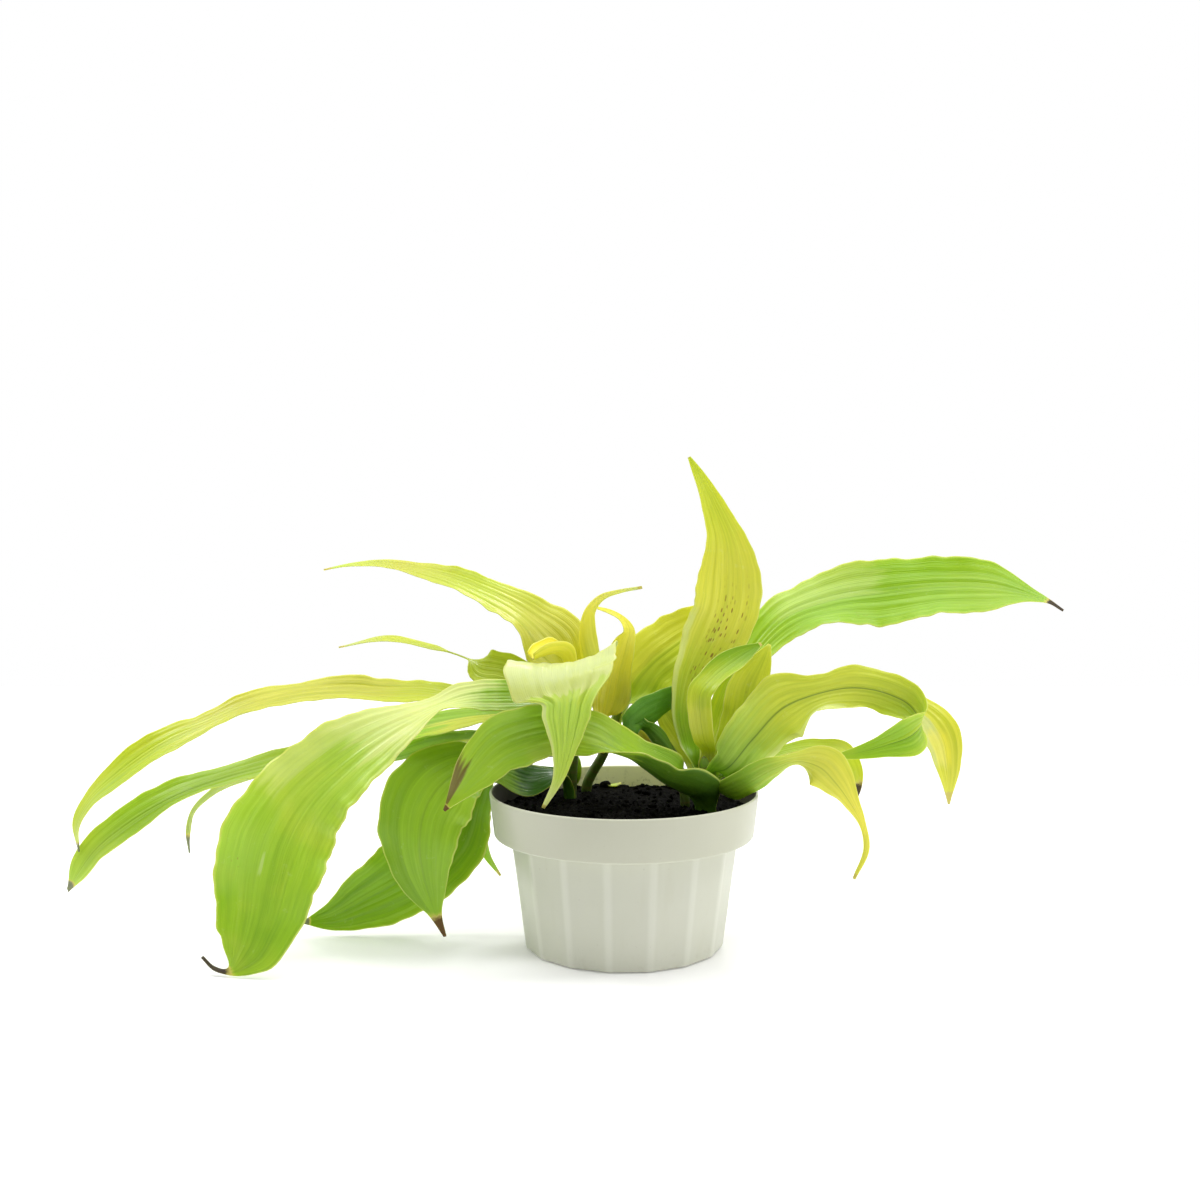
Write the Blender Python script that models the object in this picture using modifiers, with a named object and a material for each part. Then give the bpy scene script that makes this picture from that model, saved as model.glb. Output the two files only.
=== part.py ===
"""A small dracaena in a white plastic pot: three slim stems and a short one, a fan of long wavy
leaves on each, dark soil, and a pot with a smooth rim band over sixteen flat facets."""

import math

import bmesh
import bpy
import numpy as np
from mathutils import Vector, noise

MM = 0.001

# Pot, in millimetres. The origin is the middle of its base, on the surface that it stands on.
POT_HEIGHT = 69.3
RIM_RADIUS = 60.0
BAND_BOTTOM = 50.1
BAND_BOTTOM_RADIUS = 58.0
FACETS = 16
FACET_TURN = math.radians(13.6)
FACET_TOP_RADIUS = 51.2
FACET_BASE_RADIUS = 44.6
FACET_SOFTENING = 0.7
BAND_WALL = 1.6
SHELF = 1.8
INNER_TOP_RADIUS = 48.3
INNER_BASE_RADIUS = 41.9
FLOOR = 2.0
RIM_STEPS = 56

# Soil and stems.
GAP = 0.3
SOIL_LEVEL = 60.0
SOIL_ROUGHNESS = 1.1
SOIL_STEPS = 40
HOLE_DEPTH = 9.0
HOLE_CLEARANCE = 0.45
STEM_TAPER = 0.1

# Leaves.
BLADE = 0.8
BASE_WIDTH = 3.6
BASE_CUP = 60.0
RISE = 7.0
SPREAD = 1.8
SETTLE = 0.22
TIP_WIDTH = 1.4
BASE_WAVE = 0.05

# The lowest front leaf clasps its stem outside the others: how much further out, and how wide.
CLASP = {"leaf_front_wide": (1.3, 11.0)}

GREEN = (0.22, 0.42, 0.03, 1)
DEEP_GREEN = (0.09, 0.24, 0.02, 1)
YELLOW_GREEN = (0.46, 0.58, 0.04, 1)
YELLOW = (0.66, 0.66, 0.06, 1)
PALE_GREEN = (0.60, 0.70, 0.36, 1)

# Each stem: radius, then the points that its middle follows.
STEMS = {
    "stem_left": (2.5, [(-24, 29, 52), (-24, 29, 62), (-23, 27, 81), (-22, 24, 99), (-21, 20, 116)]),
    "stem_centre": (2.5, [(-17, 41, 52), (-17, 41, 62), (-9, 38, 79), (-3, 34, 97), (-1, 31, 108)]),
    "stem_slanted": (2.3, [(28, 11, 52), (28, 11, 62), (22, 15, 84), (12, 18, 95), (9, 19, 98)]),
    "stem_right": (2.7, [(37, 2, 52), (37, 2, 62), (37, 3, 72), (36, 4, 84)]),
}

# Each leaf: stem, height of its base, the way its base faces, the way the blade runs, how far
# the blade is cupped (all in degrees), colour, then the middle of the blade: x, y, z, width,
# roll about its own length and, where they differ along it, a turn and a cup of its own.
LEAVES = {
    "leaf_upper_left": ("stem_left", 107, 150, 165, 40, YELLOW_GREEN, [
        (-29, 21, 130, 32, 50), (-43, 26, 145, 27, 28), (-69, 34, 158, 19, 30),
        (-95, 42, 165.5, 14, 25), (-120, 48, 168.5, 8, 25), (-142, 51, 165, 1.4, 20)]),
    "leaf_left_twisted": ("stem_left", 99, 158, 165, 45, YELLOW_GREEN, [
        (-41, 27, 114, 14, 35), (-57, 30, 120, 18, 50), (-67, 33, 122, 15, 35),
        (-73, 36, 124, 8, 10), (-91, 43, 129, 8, 10), (-113, 50, 132, 6, 20),
        (-136, 55, 127.5, 1.4, 10)]),
    "leaf_front_pale": ("stem_left", 105, 262, 262, 30, PALE_GREEN, [
        (-24, 6, 118, 26, -12), (-26, -5, 128, 48, -11, 0, 45), (-28, -16, 127.5, 50, -11, 0, 45),
        (-28.5, -24, 122.5, 46, -9), (-28, -28.5, 118, 39, -6), (-27, -30.5, 115.3, 27, -4),
        (-25, -35, 107, 20.5, 0), (-25.5, -38, 97, 12.5, 0), (-28, -41, 83, 5, 0),
        (-34.5, -43, 70.5, 1.4, 0)]),
    "leaf_front_large": ("stem_left", 97, 228, 200, 35, GREEN, [
        (-42, 8, 110, 16, 40), (-55, 0, 112, 18, 45), (-70, -7, 112, 18, 30),
        (-82, -13, 109, 18, 10), (-92, -18, 105, 24, 25), (-106, -23, 98, 31, 40),
        (-122, -29, 87, 37, 55), (-137, -35, 73, 42, 65), (-146.5, -40, 56, 47, 75),
        (-151, -43, 40, 46, 65), (-154.5, -46, 22, 37, 60), (-159, -48, 10, 25, 60),
        (-166, -48, 2.3, 3.5, 60), (-173, -46, 3, 2, 40), (-178, -45, 7.5, 1.4, 40)]),
    "leaf_left_long": ("stem_left", 91, 140, 180, 50, YELLOW_GREEN, [
        (-52, 26, 109, 11, 30), (-75, 26, 108, 16, 20), (-94, 24, 110.5, 18, 25),
        (-110, 22, 110.5, 19.5, 25), (-129, 18, 112, 20, 25), (-145, 14, 111.5, 20, 20),
        (-167, 9, 107, 19.5, 25), (-186, 4, 99.5, 18, 25), (-205, 0, 91, 18, 40),
        (-225, -4, 77, 16, 45), (-237, -6, 66, 11, 40), (-242.5, -7, 55.5, 7, 45),
        (-242, -7, 43, 1.4, 30)]),
    "leaf_left_lower": ("stem_left", 89, 212, 182, 50, GREEN, [
        (-45, 13, 101, 10, 20), (-67, 9, 101, 14, 25), (-85, 7, 98, 16, 35),
        (-105, 6, 93, 17, 30), (-132, 5, 87, 17, 25), (-161, 3, 80, 18, 20),
        (-179, 0, 75.5, 19, 20), (-200, -3, 68, 19, 30), (-222, -6, 55, 19, 45),
        (-235, -8, 44, 16, 50), (-242, -9, 34, 11, 55), (-246.5, -9, 26, 3, 30)]),
    "leaf_left_narrow": ("stem_left", 81, 175, 178, 60, DEEP_GREEN, [
        (-45, 21, 89, 10, -20), (-72, 21, 89, 12, 30), (-91, 18, 86, 12, 35),
        (-109, 16, 81, 9, 30), (-140, 16, 77.5, 7, 30), (-166, 15, 73.5, 5.5, 30),
        (-188, 13, 65, 4.5, 40), (-196, 12, 57, 3.5, 45), (-198.5, 12, 47, 3, 60),
        (-198, 11, 38, 1.4, 20)]),
    "leaf_hanging_left": ("stem_left", 63, 217, 190, 30, GREEN, [
        (-45, 15, 71.5, 12, 45), (-60, 8, 79, 20, 40), (-73, 1, 78, 33, 50), (-83, -5, 71, 41, 65),
        (-89, -8, 60, 39.5, 70), (-90.5, -10, 48, 35, 75), (-89.5, -10, 36, 27, 80),
        (-87, -9, 25, 17, 80), (-84, -7, 15, 6.5, 70), (-80, -5, 4, 1.4, 60)]),
    "leaf_hanging_back": ("stem_left", 62, 147, 185, 35, DEEP_GREEN, [
        (-46, 30, 71.5, 12, 40), (-61, 25, 77.5, 18, 45), (-74, 22, 62, 32, 70),
        (-82.5, 18, 43, 40, 80), (-101, 15, 25, 36, 80), (-119, 13, 15, 27, 85),
        (-133, 11, 8.5, 14, 85), (-146, 10, 6, 1.4, 60)]),
    "leaf_hanging_tip": ("stem_left", 68, 88, 190, 60, GREEN, [
        (-40, 43, 77, 6, 0, -40), (-56, 42, 77, 8, 20), (-66, 38, 67, 9, 40),
        (-69, 35, 55, 9, 50), (-67, 32, 44, 8, 50), (-63.5, 28, 33, 5, 50),
        (-57, 24, 24, 1.4, 40)]),
    "leaf_new_rolled": ("stem_left", 113, 215, 215, 200, YELLOW, [
        (-24, 12, 124, 10, 0), (-27, 7, 131, 16, 0), (-31, 2, 134, 20, 0), (-36, -2, 133, 17, 0),
        (-41, -5, 130, 9, 0)]),
    "leaf_new_spike": ("stem_left", 107, -30, -30, 90, YELLOW_GREEN, [
        (-14, 15, 125, 7, 20), (-16, 12, 138, 6, 45), (-15, 8, 149, 4.5, 50),
        (-10, 6, 155, 3.5, 50), (-2, 4, 158, 2.4, 45), (8, 2, 160, 1.4, 60)]),
    "leaf_curled_small": ("stem_centre", 84, 240, 200, 70, YELLOW_GREEN, [
        (-8.5, 27, 98, 18, 75), (-6, 25, 107, 23, 80), (-4, 22, 120, 17, 90),
        (0, 18, 133, 11, 95), (2, 16, 140, 7, 70),
        (-1, 15, 145, 3.5, 65), (-6, 14, 148, 2.5, 65), (-12, 13, 150, 1.4, 60)]),
    "leaf_centre_wide": ("stem_centre", 98, 20, 20, 40, YELLOW_GREEN, [
        (4, 33, 108, 24, -40), (13, 34, 121, 30, -65), (26, 36, 131.5, 31, -55),
        (39, 39, 140, 22, -55), (50, 42, 147, 12, -50), (58, 45, 152, 1.4, -50)]),
    "leaf_dry_small": ("stem_centre", 86, -35, -20, 60, YELLOW, [
        (5, 34, 92, 8, 100), (14, 36, 84, 1.4, 60)]),
    "leaf_centre_dark": ("stem_slanted", 88, -95, 0, 60, DEEP_GREEN, [
        (4, 9, 98, 12, 60), (10, 12.5, 102.5, 15, 70), (20, 18, 107, 13, 65),
        (28, 22, 110.5, 7, 65), (34, 25, 113, 1.4, 40)]),
    "leaf_right_inner": ("stem_right", 62, 127, 128, 60, YELLOW_GREEN, [
        (32, 18, 79, 8, 38), (26, 23, 92, 14, 40), (20, 24, 101, 11, 40), (17, 25, 107, 1.4, 40)]),
    "leaf_tall_upright": ("stem_right", 73, 150, 95, 30, YELLOW, [
        (30, 11, 88, 9, 0), (28, 13, 101, 12, 0), (31.5, 16, 117, 19, 0), (39.5, 19, 132, 28, 0),
        (47, 22, 149, 31, 0), (48.5, 24, 165, 29, 0), (47, 25, 180, 19, 0), (42, 26, 194, 12, 0),
        (36, 26, 207, 7, -20), (30, 26, 218, 1.4, 0)]),
    "leaf_right_far": ("stem_right", 70, 98, 10, 30, GREEN, [
        (41, 20, 87, 10, -50), (48.3, 26.5, 106, 15, -50), (59, 30.6, 126, 18, -45),
        (76, 34, 144, 27, -40), (97, 35, 152, 34, -40), (122, 34, 155.5, 35, -55),
        (149, 31, 158.5, 32, -50), (173, 27, 158, 26, -50), (189, 24, 155, 9, -50),
        (201, 21, 148, 1.4, -50)]),
    "leaf_right_small": ("stem_right", 78, 58, 60, 60, YELLOW_GREEN, [
        (36, 2, 91, 10, -15), (34, 1, 103, 11, -20), (34, 1, 113, 11, -10), (40, 4, 121, 10, -10),
        (49, 7, 128, 8, -25), (59, 10, 133, 1.4, -40)]),
    "leaf_right_behind": ("stem_right", 71, 27, 45, 40, YELLOW_GREEN, [
        (46, 8, 83, 13, -30), (54, 12, 100, 20, -40), (62, 16, 112, 16, -40),
        (68, 18.5, 118, 9, -40), (74, 21, 123.5, 1.4, -40)]),
    "leaf_right_drooping": ("stem_right", 62, 62, 10, 50, YELLOW, [
        (57, 15, 88, 9, -20), (76, 17, 102, 10, -40), (104, 19, 108, 12, -40),
        (127, 18, 106, 16, -45), (139, 16, 100, 18, -60), (145.5, 14, 90, 17, -100),
        (147.5, 12, 78, 12, -100), (148, 11, 60.5, 1.4, -60)]),
    "leaf_right_arched": ("stem_right", 70, -55, 5, 40, YELLOW_GREEN, [
        (45, -6, 80, 18, 95), (57, -3, 93, 26, 95), (71, 1, 106.5, 29, 95),
        (86, 4, 112.5, 20, 75), (104, 5, 115, 19, 80), (119, 4, 112, 19, 80),
        (128.5, 1, 107, 18, 80, -30), (132, -5, 100, 18, 80, -90), (127, -10, 96, 18, 80, -150),
        (114, -12, 91.5, 11, 80, -180), (103, -12, 88.5, 6, 80, -180),
        (91, -13, 86.5, 1.4, 80, -180)]),
    "leaf_right_low": ("stem_right", 61, -38, 0, 50, YELLOW_GREEN, [
        (45, -9.5, 70.5, 13, 70), (53, -13, 75, 14, 65), (64, -16, 82, 13, 60), (76, -18, 86.5, 13, 45),
        (85, -21, 84, 20, 65), (91, -22, 78, 18, 65), (97.5, -23, 69, 9, 60),
        (102.8, -24, 59, 3.5, 55), (104.5, -24, 49, 3, 50), (99.5, -23, 35, 1.4, 60)]),
    "leaf_right_lower_back": ("stem_right", 66, -12, 5, 60, YELLOW_GREEN, [
        (56, 6, 79, 9, -20), (72, 6, 86, 9, -20), (87, 0, 89, 10, -25), (97, -6, 87, 12, -55),
        (101.5, -9, 79, 9, -65), (102, -10, 72, 6, -60), (101, -10, 65, 1.4, -60)]),
    "leaf_front_wide": ("stem_right", 61, 248, 170, 40, GREEN, [
        (28, -10.5, 71.5, 24, -8, 40, 140), (19, -14.5, 78, 32, -4, 10, 150),
        (9, -17.5, 85.5, 31, 14, 0, 120), (-2, -19, 92, 28, 30, 0, 80), (-13, -20, 97, 26, 43, 0, 60),
        (-26, -20, 100, 24, 55),
        (-41, -21, 98, 25, 80), (-54, -22, 93, 25, 85), (-65, -23, 82, 18, 90),
        (-72, -23, 73, 9, 90), (-78, -23, 65, 1.4, 50)]),
}


def material(name, colour, roughness, metallic=0.0):
    made = bpy.data.materials.new(name)
    made.use_nodes = True
    shader = made.node_tree.nodes["Principled BSDF"]
    shader.inputs["Base Color"].default_value = colour
    shader.inputs["Roughness"].default_value = roughness
    shader.inputs["Metallic"].default_value = metallic
    made.diffuse_color = colour
    return made


def mesh_object(name, bm, collection, look=None):
    mesh = bpy.data.meshes.new(name)
    bm.to_mesh(mesh)
    bm.free()
    made = bpy.data.objects.new(name, mesh)
    collection.objects.link(made)
    if look:
        mesh.materials.append(look)
    return made


def turned(name, profile, steps, collection, look=None):
    """A solid turned about Z from (radius, height) points that run from the top down."""
    bm = bmesh.new()
    points = [bm.verts.new((radius * MM, 0, height * MM)) for radius, height in profile]
    for first, second in zip(points, points[1:]):
        bm.edges.new((first, second))
    made = mesh_object(name, bm, collection, look)
    screw = made.modifiers.new("Turn", "SCREW")
    screw.steps = steps
    screw.render_steps = steps
    screw.use_merge_vertices = True
    screw.merge_threshold = 0.00001
    return made


def cut(target, cutter, operation="DIFFERENCE"):
    boolean = target.modifiers.new(operation.title(), "BOOLEAN")
    boolean.operation = operation
    boolean.object = cutter


def hide(helper):
    helper.hide_render = True
    helper.display_type = "WIRE"
    return helper


def baked(made):
    """The object with its modifiers applied, as a plain mesh."""
    graph = bpy.context.evaluated_depsgraph_get()
    mesh = bpy.data.meshes.new_from_object(made.evaluated_get(graph))
    made.modifiers.clear()
    made.data = mesh
    return made


def shade(made, angle=35):
    made.data.shade_smooth()
    made.data.set_sharp_from_angle(angle=math.radians(angle))
    return made


def smooth_path(rows, count):
    """Evenly spaced rows along a smooth curve through these, whose first three values are a point."""
    rows = np.array(rows, float)
    spans = np.linalg.norm(np.diff(rows[:, :3], axis=0), axis=1)
    slopes = np.diff(rows, axis=0) / spans[:, None]
    tangents = np.vstack([slopes[:1], slopes[:1].repeat(len(rows) - 2, 0), slopes[-1:]])
    weights = spans[:-1] + spans[1:]
    tangents[1:-1] = slopes[:-1] * (spans[1:] / weights)[:, None]
    tangents[1:-1] += slopes[1:] * (spans[:-1] / weights)[:, None]
    stops = np.concatenate([[0], np.cumsum(spans)])
    places = np.linspace(0, stops[-1], count)
    index = np.clip(np.searchsorted(stops, places, side="right") - 1, 0, len(spans) - 1)
    span = spans[index][:, None]
    part = ((places - stops[index]) / spans[index])[:, None]
    start, end = rows[index], rows[index + 1]
    out, back = tangents[index] * span, tangents[index + 1] * span
    path = (2 * part**3 - 3 * part**2 + 1) * start + (part**3 - 2 * part**2 + part) * out
    path += (3 * part**2 - 2 * part**3) * end + (part**3 - part**2) * back
    return path


def stem_middle(stem, height):
    """The middle of a stem at a height, carried on straight past its top."""
    points = np.array(STEMS[stem][1], float)
    below = min(max(int(np.searchsorted(points[:, 2], height)) - 1, 0), len(points) - 2)
    first, second = points[below], points[below + 1]
    return first + (second - first) * (height - first[2]) / (second[2] - first[2])


def leaf_rows(name, leaf):
    """A leaf's rows and the two that hold it to its stem: x, y, z, width, roll, heading, cup."""
    stem, height, facing, heading, cup, _, rows = leaf
    radius = STEMS[stem][0]
    layer, width = CLASP.get(name, (0, BASE_WIDTH * 1.6))
    around = stem_middle(stem, height + RISE) - stem_middle(stem, height)
    around /= np.linalg.norm(around)
    way = np.array([math.cos(math.radians(facing)), math.sin(math.radians(facing)), 0])
    way -= around * way.dot(around)
    way /= np.linalg.norm(way)
    near = radius + GAP + BLADE / 2 + layer
    foot = stem_middle(stem, height) + way * (near + 0.1)
    rise = stem_middle(stem, height + RISE) + way * (near + SPREAD)
    base_cup = BASE_CUP * width / (BASE_WIDTH * 1.6)
    full = [
        (*foot, width / 1.6, 0, facing, base_cup),
        (*rise, width, 0, facing, base_cup),
    ]
    for row in rows:
        turn = row[5] if len(row) > 5 else 0
        own_cup = row[6] if len(row) > 6 else cup
        full.append((*row[:5], heading + turn, own_cup))
    return full


def leaf_grid(name, leaf, count, columns, seed):
    """Points of a blade, from base to tip and from edge to edge, in millimetres."""
    path = smooth_path(leaf_rows(name, leaf), count)
    along = np.gradient(path[:, :3], axis=0)
    sides = np.linspace(-1, 1, columns)
    waves = 2 + 0.012 * np.linalg.norm(np.diff(path[:, :3], axis=0), axis=1).sum()
    grid = np.zeros((count, columns, 3))
    for i, (x, y, z, width, roll, heading, cup) in enumerate(path):
        t = i / (count - 1)
        forward = along[i] / np.linalg.norm(along[i])
        turn = math.radians(heading)
        across = np.array([math.sin(turn), -math.cos(turn), 0])
        across -= forward * across.dot(forward)
        across /= np.linalg.norm(across)
        up = np.cross(across, forward)
        lean = math.radians(roll)
        across, up = (
            across * math.cos(lean) + up * math.sin(lean),
            up * math.cos(lean) - across * math.sin(lean),
        )
        settled = min(t / SETTLE, 1.0)
        settled = settled * settled * (3 - 2 * settled)
        width = max(width, TIP_WIDTH)
        bend = math.radians(max(cup, 10))
        radius = width / bend
        out = radius * np.sin(sides * bend / 2)
        rise = radius * (1 - np.cos(sides * bend / 2))
        rise -= settled * radius * (1 - math.cos(bend / 2)) / 2
        phase = np.where(sides > 0, seed * 1.7, seed * 2.9 + 1.3)
        ripple = np.sin(2 * math.pi * waves * t + phase) * sides**2
        rise += BASE_WAVE * width * settled * math.sin(math.pi * t) ** 0.5 * ripple
        grid[i] = np.array([x, y, z]) + np.outer(out, across) + np.outer(rise, up)
    return grid


def build_leaf(name, leaf, seed, collection, look):
    points = np.array(leaf_rows(name, leaf))[:, :3]
    length = np.linalg.norm(np.diff(points, axis=0), axis=1).sum()
    widest = max(row[3] for row in leaf[6])
    count = int(min(max(length / 8.5, 9), 23))
    columns = 7 if widest > 16 else 5
    grid = leaf_grid(name, leaf, count, columns, seed)
    bm = bmesh.new()
    verts = [[bm.verts.new(Vector(point) * MM) for point in row] for row in grid]
    for i in range(count - 1):
        for j in range(columns - 1):
            corners = (verts[i][j], verts[i][j + 1], verts[i + 1][j + 1], verts[i + 1][j])
            bm.faces.new(corners[:3])
            bm.faces.new((corners[0], corners[2], corners[3]))
    blade = mesh_object(name, bm, collection, look)
    thick = blade.modifiers.new("Thickness", "SOLIDIFY")
    thick.thickness = BLADE * MM
    thick.offset = 0
    blade.data.shade_smooth()
    return blade


def build_pot(parts, helpers, look):
    bpy.ops.mesh.primitive_cone_add(
        vertices=FACETS,
        radius1=FACET_BASE_RADIUS * MM,
        radius2=FACET_TOP_RADIUS * MM,
        depth=BAND_BOTTOM * MM,
        location=(0, 0, BAND_BOTTOM * MM / 2),
        rotation=(0, 0, FACET_TURN),
    )
    pot = bpy.context.object
    pot.name = "pot"
    for owner in list(pot.users_collection):
        owner.objects.unlink(pot)
    parts.objects.link(pot)
    pot.data.materials.append(look)
    soft = pot.modifiers.new("Soft facets", "BEVEL")
    soft.width = FACET_SOFTENING * MM
    soft.segments = 1
    soft.limit_method = "ANGLE"
    soft.angle_limit = math.radians(15)
    band = turned(
        "band_outline",
        [
            (0, POT_HEIGHT),
            (RIM_RADIUS - 0.9, POT_HEIGHT),
            (RIM_RADIUS - 0.25, POT_HEIGHT - 0.25),
            (RIM_RADIUS, POT_HEIGHT - 0.9),
            (BAND_BOTTOM_RADIUS + 0.1, BAND_BOTTOM + 1.2),
            (BAND_BOTTOM_RADIUS - 0.3, BAND_BOTTOM + 0.4),
            (BAND_BOTTOM_RADIUS - 1.1, BAND_BOTTOM),
            (FACET_TOP_RADIUS - 2.6, BAND_BOTTOM),
            (FACET_TOP_RADIUS - 3.4, BAND_BOTTOM - 1.5),
            (0, BAND_BOTTOM - 1.5),
        ],
        RIM_STEPS,
        helpers,
    )
    hollow = turned(
        "hollow_outline",
        [
            (0, POT_HEIGHT + 2),
            (RIM_RADIUS - BAND_WALL + 0.1, POT_HEIGHT + 2),
            (RIM_RADIUS - BAND_WALL, POT_HEIGHT - 0.4),
            (BAND_BOTTOM_RADIUS - BAND_WALL, BAND_BOTTOM + SHELF),
            (INNER_TOP_RADIUS, BAND_BOTTOM + SHELF - 0.2),
            (INNER_BASE_RADIUS, FLOOR),
            (0, FLOOR),
        ],
        RIM_STEPS,
        helpers,
    )
    cut(pot, hide(band), "UNION")
    cut(pot, hide(hollow))
    baked(pot)
    return shade(pot, 20)


def build_soil(parts, helpers, look):
    """A plug that fills the pot to a little below its rim, with a crumbly top and plain holes."""
    edge = BAND_BOTTOM_RADIUS - BAND_WALL - GAP - 0.15
    top_edge = edge + (SOIL_LEVEL - BAND_BOTTOM - SHELF) * 0.11
    rings = [(top_edge * part, SOIL_LEVEL) for part in (0, 0.13, 0.27, 0.41, 0.55, 0.69, 0.82, 0.93)]
    profile = rings + [
        (top_edge, SOIL_LEVEL - 1.0),
        (edge, BAND_BOTTOM + SHELF + GAP),
        (INNER_TOP_RADIUS - GAP, BAND_BOTTOM + SHELF + GAP - 0.2),
        (INNER_BASE_RADIUS - GAP, FLOOR + GAP),
        (0, FLOOR + GAP),
    ]
    soil = turned("soil", profile, SOIL_STEPS, parts, look)
    baked(soil)
    for vertex in soil.data.vertices:
        x, y, z = vertex.co / MM
        if z > SOIL_LEVEL - 0.5:
            lump = noise.noise(Vector((x * 0.13, y * 0.13, 4.0)))
            crumb = noise.noise(Vector((x * 0.41, y * 0.41, 9.0)))
            vertex.co.z = (z + SOIL_ROUGHNESS * (lump + 0.7 * crumb)) * MM
    for name, (radius, points) in STEMS.items():
        x, y, _ = points[0]
        bpy.ops.mesh.primitive_cylinder_add(
            vertices=20,
            radius=(radius + HOLE_CLEARANCE) * MM,
            depth=30 * MM,
            location=(x * MM, y * MM, (SOIL_LEVEL - HOLE_DEPTH + 15) * MM),
        )
        hole = bpy.context.object
        hole.name = "hole_for_" + name
        for owner in list(hole.users_collection):
            owner.objects.unlink(hole)
        helpers.objects.link(hole)
        cut(soil, hide(hole))
    return shade(soil, 50)


def build_stem(name, radius, points, collection, look):
    path = smooth_path([(*point, 0) for point in points], 12)
    curve = bpy.data.curves.new(name, "CURVE")
    curve.dimensions = "3D"
    curve.bevel_depth = radius * MM
    curve.bevel_resolution = 3
    curve.use_fill_caps = True
    spline = curve.splines.new("POLY")
    spline.points.add(len(path) - 1)
    for i, (x, y, z, _) in enumerate(path):
        spline.points[i].co = (x * MM, y * MM, z * MM, 1)
        spline.points[i].radius = 1.0 - STEM_TAPER * i / (len(path) - 1)
    curve.materials.append(look)
    stem = bpy.data.objects.new(name, curve)
    collection.objects.link(stem)
    return stem


def build_chip(parts, look):
    """A scrap of pale leaf that lies on the soil behind the stems."""
    bpy.ops.mesh.primitive_uv_sphere_add(segments=12, ring_count=6, radius=1)
    chip = bpy.context.object
    chip.name = "leaf_scrap"
    for owner in list(chip.users_collection):
        owner.objects.unlink(chip)
    parts.objects.link(chip)
    chip.data.materials.append(look)
    for vertex in chip.data.vertices:
        x, y, z = vertex.co
        vertex.co = ((x * 3.8 + 0.6 * y * y) * MM, y * 2.3 * MM, (z * 0.6 + 0.25 * x * x) * MM)
    chip.rotation_euler = (math.radians(6), math.radians(-8), math.radians(20))
    chip.location = (-4 * MM, 50 * MM, (SOIL_LEVEL + 1.2) * MM)
    chip.data.shade_smooth()
    return chip


for old in list(bpy.data.objects):
    bpy.data.objects.remove(old, do_unlink=True)

plant = bpy.data.collections.new("potted_dracaena")
cutters = bpy.data.collections.new("cutters")
bpy.context.scene.collection.children.link(plant)
bpy.context.scene.collection.children.link(cutters)

pot_plastic = material("pot_plastic", (0.62, 0.64, 0.55, 1), 0.38)
soil_look = material("potting_soil", (0.012, 0.009, 0.006, 1), 0.95)
stem_look = material("stem_green", (0.13, 0.22, 0.03, 1), 0.5)
leaf_looks = {
    colour: material(label, colour, 0.42)
    for label, colour in (
        ("leaf_green", GREEN),
        ("leaf_deep_green", DEEP_GREEN),
        ("leaf_yellow_green", YELLOW_GREEN),
        ("leaf_yellow", YELLOW),
        ("leaf_pale_green", PALE_GREEN),
    )
}

build_pot(plant, cutters, pot_plastic)
build_soil(plant, cutters, soil_look)
for stem_name, (stem_radius, stem_points) in STEMS.items():
    build_stem(stem_name, stem_radius, stem_points, plant, stem_look)
for number, (leaf_name, leaf) in enumerate(LEAVES.items()):
    build_leaf(leaf_name, leaf, number, plant, leaf_looks[leaf[5]])
build_chip(plant, leaf_looks[PALE_GREEN])
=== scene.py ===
"""The looks of a potted dracaena: ribbed wavy leaves, ringed stems, crumbly soil, a moulded pot."""

import math

import bmesh
import bpy
import numpy as np
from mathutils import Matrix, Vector, noise


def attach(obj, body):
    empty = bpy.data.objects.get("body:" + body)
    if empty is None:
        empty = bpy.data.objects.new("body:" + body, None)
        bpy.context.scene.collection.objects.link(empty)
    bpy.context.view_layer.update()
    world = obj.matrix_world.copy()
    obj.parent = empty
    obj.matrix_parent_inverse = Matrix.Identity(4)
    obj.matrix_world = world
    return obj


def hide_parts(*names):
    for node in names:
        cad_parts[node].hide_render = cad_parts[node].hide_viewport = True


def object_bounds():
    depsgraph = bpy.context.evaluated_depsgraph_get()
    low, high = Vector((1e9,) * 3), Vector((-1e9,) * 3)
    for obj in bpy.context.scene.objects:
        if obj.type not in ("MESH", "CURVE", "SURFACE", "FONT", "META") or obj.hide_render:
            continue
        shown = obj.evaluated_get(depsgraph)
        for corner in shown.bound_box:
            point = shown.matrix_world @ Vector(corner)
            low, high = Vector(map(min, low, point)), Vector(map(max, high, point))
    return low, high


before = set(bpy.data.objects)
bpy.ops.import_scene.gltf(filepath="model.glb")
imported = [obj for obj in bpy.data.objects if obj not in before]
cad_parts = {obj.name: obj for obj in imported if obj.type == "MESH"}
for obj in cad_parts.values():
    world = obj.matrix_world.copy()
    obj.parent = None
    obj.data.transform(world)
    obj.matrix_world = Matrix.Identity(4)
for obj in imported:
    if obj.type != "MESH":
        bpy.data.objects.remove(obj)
CAD_LOW, CAD_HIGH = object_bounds()

MM = 0.001
# How far inside the solid model's box every piece is kept, in metres.
BOX_MARGIN = 0.00002

# Pot, in millimetres.
POT_HEIGHT = 69.3
RIM_RADIUS = 60.0
BAND_BOTTOM = 50.1
BAND_BOTTOM_RADIUS = 58.0
FACETS = 16
FACET_TURN = math.radians(13.6)
FACET_TOP_RADIUS = 51.2
FACET_BASE_RADIUS = 44.6
BAND_WALL = 1.6
SHELF = 1.8
INNER_TOP_RADIUS = 48.3
INNER_BASE_RADIUS = 41.9
FLOOR = 2.0
RIM_ROUND = 0.7
BAND_ROUND = 1.0
TURN_STEPS = 192
ARC_STEPS = 6

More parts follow.
